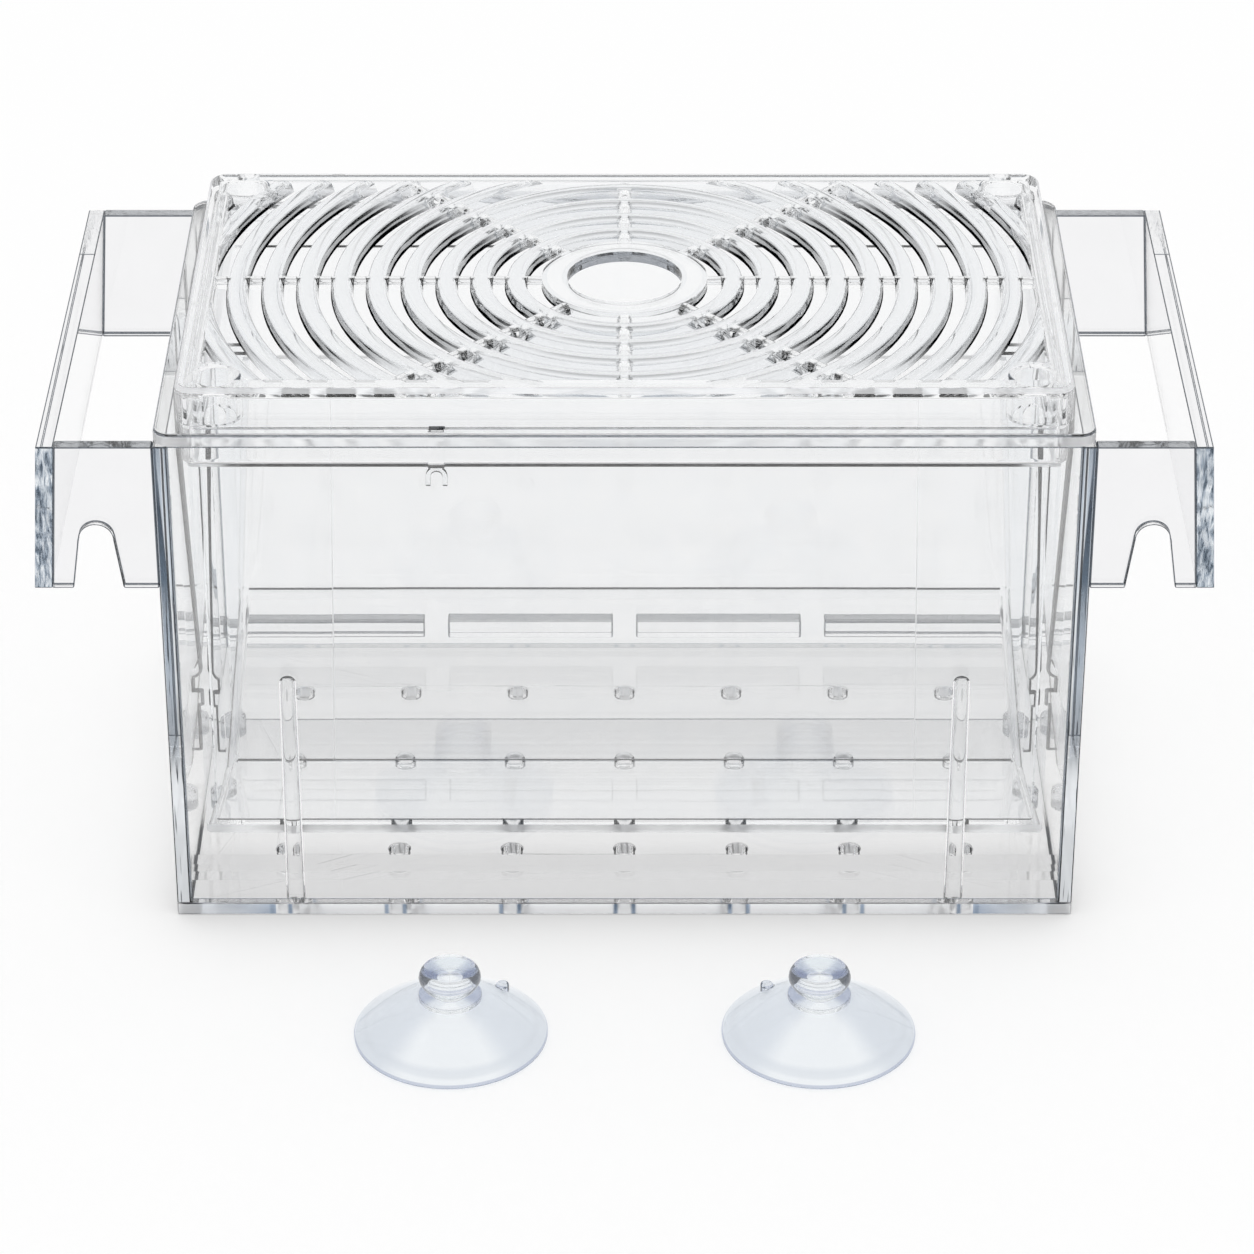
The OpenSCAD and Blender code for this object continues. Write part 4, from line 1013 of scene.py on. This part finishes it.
def makeTray(s):
    wall = s["wall"]
    tray = asObject(trayBlock(s, 0, s["top"], *s["outerRound"], 0), "tray_moulding")
    cavity = asObject(trayBlock(s, wall, s["top"] + 1, *s["innerRound"], s["innerLift"]), "cavity")
    combine(tray, [cavity], "DIFFERENCE")
    ring = [2 * math.pi * i / 40 for i in range(40)]
    for k in range(s["holes"]):
        x = (k - (s["holes"] - 1) / 2) * s["holePitch"]
        bore = [[((x + r * math.cos(a)) * mm, r * math.sin(a) * mm, z * mm) for a in ring]
                for r, z in ((s["holeRadius"], 2.0), (s["holeRadius"], 5.6), (s["holeRadius"] + 0.5, 6.6),
                             (s["holeRadius"] + 0.5, 7.5))]
        combine(tray, [asObject(meshFromLoops(bore), "bore")], "DIFFERENCE")
    inX = s["half"][0] - wall
    g = s["guide"]
    f = s["fin"]
    for side in (-1, 1):
        for face in (-1, 1):
            outline = [(side * (inX + 0.5), g["foot"]), (side * (inX + 0.5), s["top"]),
                       (side * (inX - g["topWidth"]), s["top"]), (side * (inX - g["footWidth"]), g["foot"])]
            near = face * g["near"]
            guide = prism(outline, near, near + face * g["thick"],
                          lambda a, b, t: (a * mm, t * mm, b * mm))
            combine(tray, [asObject(guide, "guide")], "UNION")
        out = s["half"][0]
        arc = [math.radians(270 + 15 * i) for i in range(7)]
        rootX = -0.6
        outline = [(rootX, f["stripFoot"]), (f["strip"], f["stripFoot"]), (f["strip"], f["lug"][0]),
                   (f["reach"], f["lug"][0]), (f["reach"], f["lug"][1]), (f["web"], f["lug"][1]),
                   (f["web"], f["foot"])]
        outline += [(f["reach"] - f["footRound"] + f["footRound"] * math.cos(a),
                     f["foot"] + f["footRound"] + f["footRound"] * math.sin(a)) for a in arc]
        outline += [(f["tipWidth"], f["tip"]), (rootX, f["tip"])]
        # the fin's outer edge is rounded from face to face
        fin = meshFromLoops([[(side * (out + (max(a - drawn, -0.3) if a > 0 else a)) * mm, t * f["half"] * mm, b * mm)
                              for a, b in outline]
                             for t, drawn in ((-1, 0.8), (-0.85, 0.38), (-0.5, 0.1), (0.5, 0.1), (0.85, 0.38),
                                              (1, 0.8))])
        combine(tray, [asObject(fin, "fin")], "UNION")

    def choose(at, normal):
        x, y = abs(at.x), abs(at.y)
        halfX, halfY = s["half"]
        if normal.z > 0.9 and at.z > s["top"] - 0.5:       # the rim and the guides' tops
            return 2
        if x > halfX + 0.05:                               # the fins' rounded outer edges
            return 3 if abs(normal.y) < 0.975 else 5 if at.z > s["fin"]["lug"][1] else 0
        tilt = math.atan2(abs(normal.y), abs(normal.z))
        inner = y < halfY - wall + 0.1 and y > halfY - wall - 1.0 and normal.z > 0.1
        if inner and at.z < s["shoulder"] + 4 and x < halfX - 2.4 and 0.6 < tilt < 1.3:
            return 3                                       # a painted shade line along each inner shoulder
        outer = x > halfX - 2.5 or (y > halfY - 2.5 and at.z < s["shoulder"] + 2.5)
        onSkin = y > halfY - 0.5 or normal.z < -0.2
        if x > halfX - 2.5 and at.z > s["shoulder"] + 2.5:
            return 4
        if outer and onSkin and abs(normal.x) < 0.95:
            return 2                                       # soft bands where the plastic is thick
        if y < 0.4 and at.z < s["valley"] + 2.8 and abs(normal.z) > 0.9:
            return 1                                       # a painted shade line along the foot of the V
        if y < s["holeRadius"] + 0.7 and at.z < 6.7 and abs(normal.z) < 0.7 and x < halfX - wall - 3:
            return 3 if abs(normal.x) > 0.75 else 2
        if x > halfX - wall - 0.1 and abs(normal.x) > 0.95:
            return 4
        return 0

    finishPiece(tray, "tray", [plastic["moulding"], plastic["mouldedEdge"], plastic["drawnSide"],
                               plastic["deepEdge"], plastic["endWall"], plastic["finFace"]],
                ["breeding_tray"], choose)
    return tray


tray = makeTray(traySettings)
print("tray:", len(tray.data.vertices), "points")


# ---------- ribs inside the front panel ----------
ribSettings = {"x": 73.5, "face": -55.6, "proud": 1.3, "footHalf": 2.1, "topHalf": 1.85, "foot": 3.0, "top": 61.0}


def makeRib(side, s):
    loops = []
    across = [math.radians(a) for a in range(0, 181, 15)]
    rows = [(0.0, s["foot"]), (0.35, s["foot"] + 15), (0.7, s["foot"] + 35), (1.0, s["top"] - s["topHalf"])]
    for share, z in rows:
        half = s["footHalf"] + (s["topHalf"] - s["footHalf"]) * share
        loops.append([(half * math.cos(a), s["proud"] * math.sin(a) ** 0.7 if 0 < a < 3.14 else 0, z)
                      for a in across])
    for i in range(1, 6):
        a = math.radians(i * 17)
        half = s["topHalf"] * math.cos(a)
        loops.append([(half * math.cos(b), s["proud"] * math.cos(a) * math.sin(b) ** 0.7 if 0 < b < 3.14 else 0,
                       s["top"] - s["topHalf"] * (1 - math.sin(a))) for b in across])
    sunk = 0.02                                            # bonded a hair into the panel
    placed = [[((side * s["x"] + x) * mm, (s["face"] + y - sunk) * mm, z * mm) for x, y, z in loop]
              for loop in loops]
    rib = asObject(meshFromLoops(placed), ("left" if side < 0 else "right") + "_rib_rod")

    def choose(at, normal):
        return 2 if normal.z > 0.35 else 1 if abs(normal.x) > 0.86 else 0

    finishPiece(rib, "tank", [plastic["sheet"], plastic["paleEdge"], plastic["deepEdge"]],
                [("left" if side < 0 else "right") + "_front_rib"], choose, 60)
    return rib


for side in (-1, 1):
    makeRib(side, ribSettings)
print("ribs done")


# ---------- suction cups ----------
cupSettings = {
    "rim": 20.9, "lip": 0.8, "lipWidth": 0.4, "dome": 9.5, "middle": 2.8, "collar": 6.8, "collarHigh": 1.1,
    "neck": 3.5, "neckHigh": 1.2, "fillet": 0.4, "knob": 6.7, "draw": 1.1, "shoulder": 2.2, "ridgeIn": 1.3,
    "dish": 1.2, "height": 16.7, "y": -104.4, "nub": 1.4, "nubOff": 13.6, "nubTurn": 36, "nubProud": 1.4,
    "cups": {"left": (-37.4, 1), "right": (41.8, -1)},
}


cupFinish = {
    # painted light and shade: front is lighter, side darker; shadow is painted shadow on the neck's sides, ridge
    # painted shade on the knob's sides
    "front": "#f6f9fb", "side": "#e3e8ee", "sideFrom": 0.45, "sideTo": 0.80,
    "rim": "#adb5ca", "rimFrom": 20.55, "rimTo": 20.75,
    "shadow": "#98a1ba", "shadowSide": (0.62, 0.92), "neckBand": (9.2, 10.2, 12.4, 13.2),
    "ridge": "#b9c0d2", "ridgeAt": (14.2, 15.2), "bandRadius": (17.2, 18.4, 19.3), "band": "#e0e5eb",
    "ior": 1.40, "shade": ("#f0f3f7",), "grainMm": 3.0,
}


# soft clear PVC, pressed: milky blue, deeper at the thick rim; the lighter front and darker sides are painted light and
# shade, with painted shade on the neck and the knob's sides
def softPvc(s, centre):
    material = bpy.data.materials.new("pressed soft clear PVC")
    material.use_nodes = True
    tree = material.node_tree
    tree.nodes.clear()
    place = addNode(tree, "ShaderNodeTexCoord")
    local = addNode(tree, "ShaderNodeVectorMath", {
        "operation": "SUBTRACT", "in:1": (centre[0] * mm, centre[1] * mm, 0)}, {"0": place.outputs["Object"]})
    axes = addNode(tree, "ShaderNodeSeparateXYZ", links={"Vector": local.outputs[0]})
    level = addNode(tree, "ShaderNodeCombineXYZ", links={"X": axes.outputs["X"], "Y": axes.outputs["Y"]})
    radius = addNode(tree, "ShaderNodeVectorMath", {"operation": "LENGTH"}, {"0": level.outputs[0]})
    way = addNode(tree, "ShaderNodeVectorMath", {"operation": "NORMALIZE"}, {"0": level.outputs[0]})
    wayAxes = addNode(tree, "ShaderNodeSeparateXYZ", links={"Vector": way.outputs[0]})
    beside = addNode(tree, "ShaderNodeMath", {"operation": "ABSOLUTE"}, {"0": wayAxes.outputs["X"]})

    def ramp(source, start, end, low=0.0, high=1.0):
        return addNode(tree, "ShaderNodeMapRange", {
            "interpolation_type": "SMOOTHSTEP", "in:From Min": start, "in:From Max": end,
            "in:To Min": low, "in:To Max": high}, {"Value": source})

    def times(one, other):
        return addNode(tree, "ShaderNodeMath", {"operation": "MULTIPLY"}, {"0": one.outputs[0], "1": other.outputs[0]})

    def coat(under, colour, share):
        return addNode(tree, "ShaderNodeMix", {"data_type": "RGBA", "in:7": linearFromHex(colour)},
                       {"0": share.outputs[0], "6": under})

    grain = addNode(tree, "ShaderNodeTexNoise", {"in:Scale": 1000 / s["grainMm"], "in:Detail": 2.0},
                    {"Vector": place.outputs["Object"]})
    # painted light and shade: lighter towards the front, darker towards the sides
    body = addNode(tree, "ShaderNodeMix", {"data_type": "RGBA", "in:6": linearFromHex(s["front"]),
                                           "in:7": linearFromHex(s["side"])},
                   {"0": ramp(beside.outputs[0], s["sideFrom"], s["sideTo"]).outputs[0]})
    a, b, c, d = s["neckBand"]
    inner, middle, outer = s["bandRadius"]
    band = times(ramp(radius.outputs["Value"], inner * mm, middle * mm),
                 ramp(radius.outputs["Value"], middle * mm, outer * mm, 1.0, 0.0))
    tint = coat(body.outputs[2], s["band"], band)
    rim = ramp(radius.outputs["Value"], s["rimFrom"] * mm, s["rimTo"] * mm)
    tint = coat(tint.outputs[2], s["rim"], rim)
    # painted shade on the neck and on the knob's ridge, towards the sides
    toSide = ramp(beside.outputs[0], *s["shadowSide"])
    neck = times(times(ramp(axes.outputs["Z"], a * mm, b * mm), ramp(axes.outputs["Z"], c * mm, d * mm, 1.0, 0.0)),
                 toSide)
    tint = coat(tint.outputs[2], s["shadow"], neck)
    ridge = times(ramp(axes.outputs["Z"], s["ridgeAt"][0] * mm, s["ridgeAt"][1] * mm), toSide)
    tint = coat(tint.outputs[2], s["ridge"], ridge)
    bump = addNode(tree, "ShaderNodeBump", {"in:Strength": 0.5, "in:Distance": 0.02 * mm},
                   {"Height": grain.outputs[0]})
    haze = addNode(tree, "ShaderNodeMapRange", {
        "in:From Min": 0.4, "in:From Max": 0.7, "in:To Min": 0.04, "in:To Max": 0.10}, {"Value": grain.outputs[0]})
    glass = addNode(tree, "ShaderNodeBsdfPrincipled", {"in:IOR": s["ior"], "in:Transmission Weight": 1.0}, {
        "Base Color": tint.outputs[2], "Roughness": haze.outputs[0], "Normal": bump.outputs[0]})
    finishGlass(tree, glass, s["shade"])
    return material


def cupProfile(s):
    hollow = s["rim"] - s["lipWidth"]
    under = []
    for i in range(29):
        r = hollow * i / 28
        under.append((max(r, 0.02), (s["dome"] - s["middle"]) * (1 - (r / hollow) ** 2)))
    lip = [(s["rim"] - 0.12, 0.0), (s["rim"], 0.14), (s["rim"], s["lip"] - 0.25), (s["rim"] - 0.1, s["lip"] - 0.05)]
    outer = []
    for i in range(1, 29):
        r = s["rim"] - (s["rim"] - s["collar"]) * i / 28
        t = (r - s["collar"]) / (s["rim"] - s["collar"])
        outer.append((r, s["lip"] + (s["dome"] - s["lip"]) * (1 - max(t, 0) ** 1.3)))
    neckZ = s["dome"] + s["collarHigh"]
    knobZ = neckZ + s["neckHigh"]
    collar = [(s["collar"], neckZ - 0.35), (s["collar"] - 0.12, neckZ - 0.12), (s["collar"] - 0.4, neckZ)]
    neck = [(s["neck"] + 0.8, neckZ + 0.05), (s["neck"] + 0.3, neckZ + 0.15), (s["neck"], neckZ + 0.45),
            (s["neck"], knobZ - 0.25), (s["neck"] + 0.3, knobZ)]
    low, high = s["knob"] - s["draw"], s["height"] - s["shoulder"]
    knob = [(low - 0.6, knobZ + 0.22), (low, knobZ + 0.5), (s["knob"] - 0.5, knobZ + 1.1), (s["knob"] - 0.08, high - 0.5),
            (s["knob"], high), (s["knob"] - 0.08, high + 0.6), (s["knob"] - 0.35, high + 1.3),
            (s["knob"] - 0.8, high + 1.9), (s["knob"] - s["ridgeIn"], s["height"]),
            (s["knob"] - s["ridgeIn"] - 0.6, s["height"] - 0.12), (s["knob"] - 2 * s["ridgeIn"], s["height"] - 0.55),
            (s["knob"] - 2 * s["ridgeIn"] - 1.2, s["height"] - 0.95), (1.0, s["height"] - s["dish"]),
            (0.02, s["height"] - s["dish"])]
    return under + lip + outer + collar + neck + knob


def makeCup(key, s):
    x, nubSide = s["cups"][key]
    cup = asObject(lathe(cupProfile(s), 120, (x, s["y"])), key + "_cup_soft")
    turn = math.radians(s["nubTurn"] if nubSide > 0 else 180 - s["nubTurn"])
    t = (s["nubOff"] - s["collar"]) / (s["rim"] - s["collar"])
    foot = s["lip"] + (s["dome"] - s["lip"]) * (1 - t ** 1.3)
    place = (x + s["nubOff"] * math.cos(turn), s["y"] + s["nubOff"] * math.sin(turn))
    ring = [2 * math.pi * i / 28 for i in range(28)]
    loops = [[((place[0] + r * math.cos(a)) * mm, (place[1] + r * math.sin(a)) * mm, z * mm) for a in ring]
             for r, z in ((s["nub"], foot - s["nub"] * 0.9), (s["nub"], foot + s["nubProud"] - 0.5),
                          (s["nub"] - 0.12, foot + s["nubProud"] - 0.18), (s["nub"] - 0.45, foot + s["nubProud"]))]
    combine(cup, [asObject(meshFromLoops(loops), "nub")], "UNION")
    nubTurned = (math.cos(turn), math.sin(turn))

    def choose(at, normal):
        offX, offY = at.x - place[0], at.y - place[1]
        onNub = math.hypot(offX, offY) < s["nub"] + 0.1 and at.z > foot - 0.3
        outside = normal.x * nubTurned[0] + normal.y * nubTurned[1] > 0.2
        return 1 if onNub and outside and normal.z < 0.9 else 0

    finishPiece(cup, key + "_cup", [softPvc(cupFinish, (x, s["y"])), plastic["mouldedEdge"]],
                [key + "_suction_cup"], choose, 50)


for key in cupSettings["cups"]:
    makeCup(key, cupSettings)
print("cups done")


# ---------- sheet parts ----------
# face finishes are picked by the way a face looks; the broken edges get a slot of their own
# the dark, grey and near-black edge finishes given here are painted shade; footEdge carries painted images of the flow
# holes
sheetSettings = {
    "base_panel": {"edge": "frostEdge", "width": 0.22, "holes": "deepEdge",
                   "faces": [((0, -1, 0), "footEdge"), ((0, 1, 0), "footEdge"), ((0, 0, 1), "baseTop")]},
    "front_panel": {"edge": "paleEdge", "width": 0.22},
    "back_panel": {"edge": "paleEdge", "width": 0.22},
    "left_end_panel": {"edge": "darkEdge", "width": 0.28, "faces": [
        ((0, -1, 0), "pipedEdge"), ((0, 1, 0), "pipedEdge"), ((1, 0, 0), "bondedWall")]},
    "right_end_panel": {"edge": "darkEdge", "width": 0.28, "faces": [
        ((0, -1, 0), "pipedEdge"), ((0, 1, 0), "pipedEdge"), ((-1, 0, 0), "bondedWall")]},
    "front_foot_rail": {"edge": "bonded", "width": 0.12, "main": "bonded"},
    "back_foot_rail": {"edge": "darkEdge", "width": 0.35, "faces": [((0, 0, 1), "topEdge")]},
    "tray_rest_studs": {"edge": "stud", "width": 0.6, "faces": [((0, 0, 1), "stud")], "main": "stud"},
    "centre_divider": {"edge": "frostEdge", "width": 0.15, "faces": [
        ((0, 0, 1), "frostEdge"), ((0, 0, -1), "deepEdge")]},
    "left_wing_front_plate": {"edge": "darkEdge", "width": 0.30, "faces": [((0, 0, 1), "topEdge")]},
    "right_wing_front_plate": {"edge": "darkEdge", "width": 0.30, "faces": [((0, 0, 1), "topEdge")]},
    "left_wing_back_plate": {"edge": "darkEdge", "width": 0.30, "faces": [((0, 0, 1), "topEdge")]},
    "right_wing_back_plate": {"edge": "darkEdge", "width": 0.30, "faces": [((0, 0, 1), "topEdge")]},
    "left_wing_outer_plate": {"edge": "darkEdge", "width": 0.28, "faces": [((0, -1, 0), "sawnEnd"), ((0, 1, 0), "sawnEnd")]},
    "right_wing_outer_plate": {"edge": "darkEdge", "width": 0.28, "faces": [((0, -1, 0), "sawnEnd"), ((0, 1, 0), "sawnEnd")]},
}
for name, s in sheetSettings.items():
    node = nodes[name]
    mesh = node.data
    main = plastic[s.get("main", "wingSheet" if "wing" in name else "endSheet" if "end" in name else "sheet")]
    for slot in node.material_slots:
        slot.material = main
    mesh.materials.append(plastic[s["edge"]])
    edgeSlot = len(mesh.materials) - 1
    for axis, finish in s.get("faces", []):
        mesh.materials.append(plastic[finish])
        for face in mesh.polygons:
            if face.normal.dot(axis) > 0.9:
                face.material_index = len(mesh.materials) - 1
    if "holes" in s:
        mesh.materials.append(plastic[s["holes"]])
        for face in mesh.polygons:
            inside = abs(face.center.x) < 95 * mm and abs(face.center.y) < 55 * mm
            if inside and abs(face.normal.z) < 0.2 and abs(face.normal.x) > 0.8:
                face.material_index = len(mesh.materials) - 1
    weld = node.modifiers.new("joinCorners", "WELD")
    weld.merge_threshold = 0.000001
    if name != "centre_divider":
        bond = node.modifiers.new("bondedFaces", "DISPLACE")   # bonded faces share a hair's breadth
        bond.strength = 0.00002
        bond.mid_level = 0.0
    bevel = node.modifiers.new("brokenEdges", "BEVEL")
    bevel.width = s["width"] * mm
    bevel.segments = 2
    bevel.limit_method = "ANGLE"
    bevel.angle_limit = math.radians(40)
    bevel.harden_normals = True
    bevel.material = edgeSlot
for name in ("left_front_rib", "right_front_rib", "breeding_tray", "lid", "left_suction_cup", "right_suction_cup"):
    for slot in nodes[name].material_slots:
        slot.material = plastic["pvc" if "cup" in name else "moulding" if name in ("lid", "breeding_tray") else "sheet"]
print("materials on the frame")
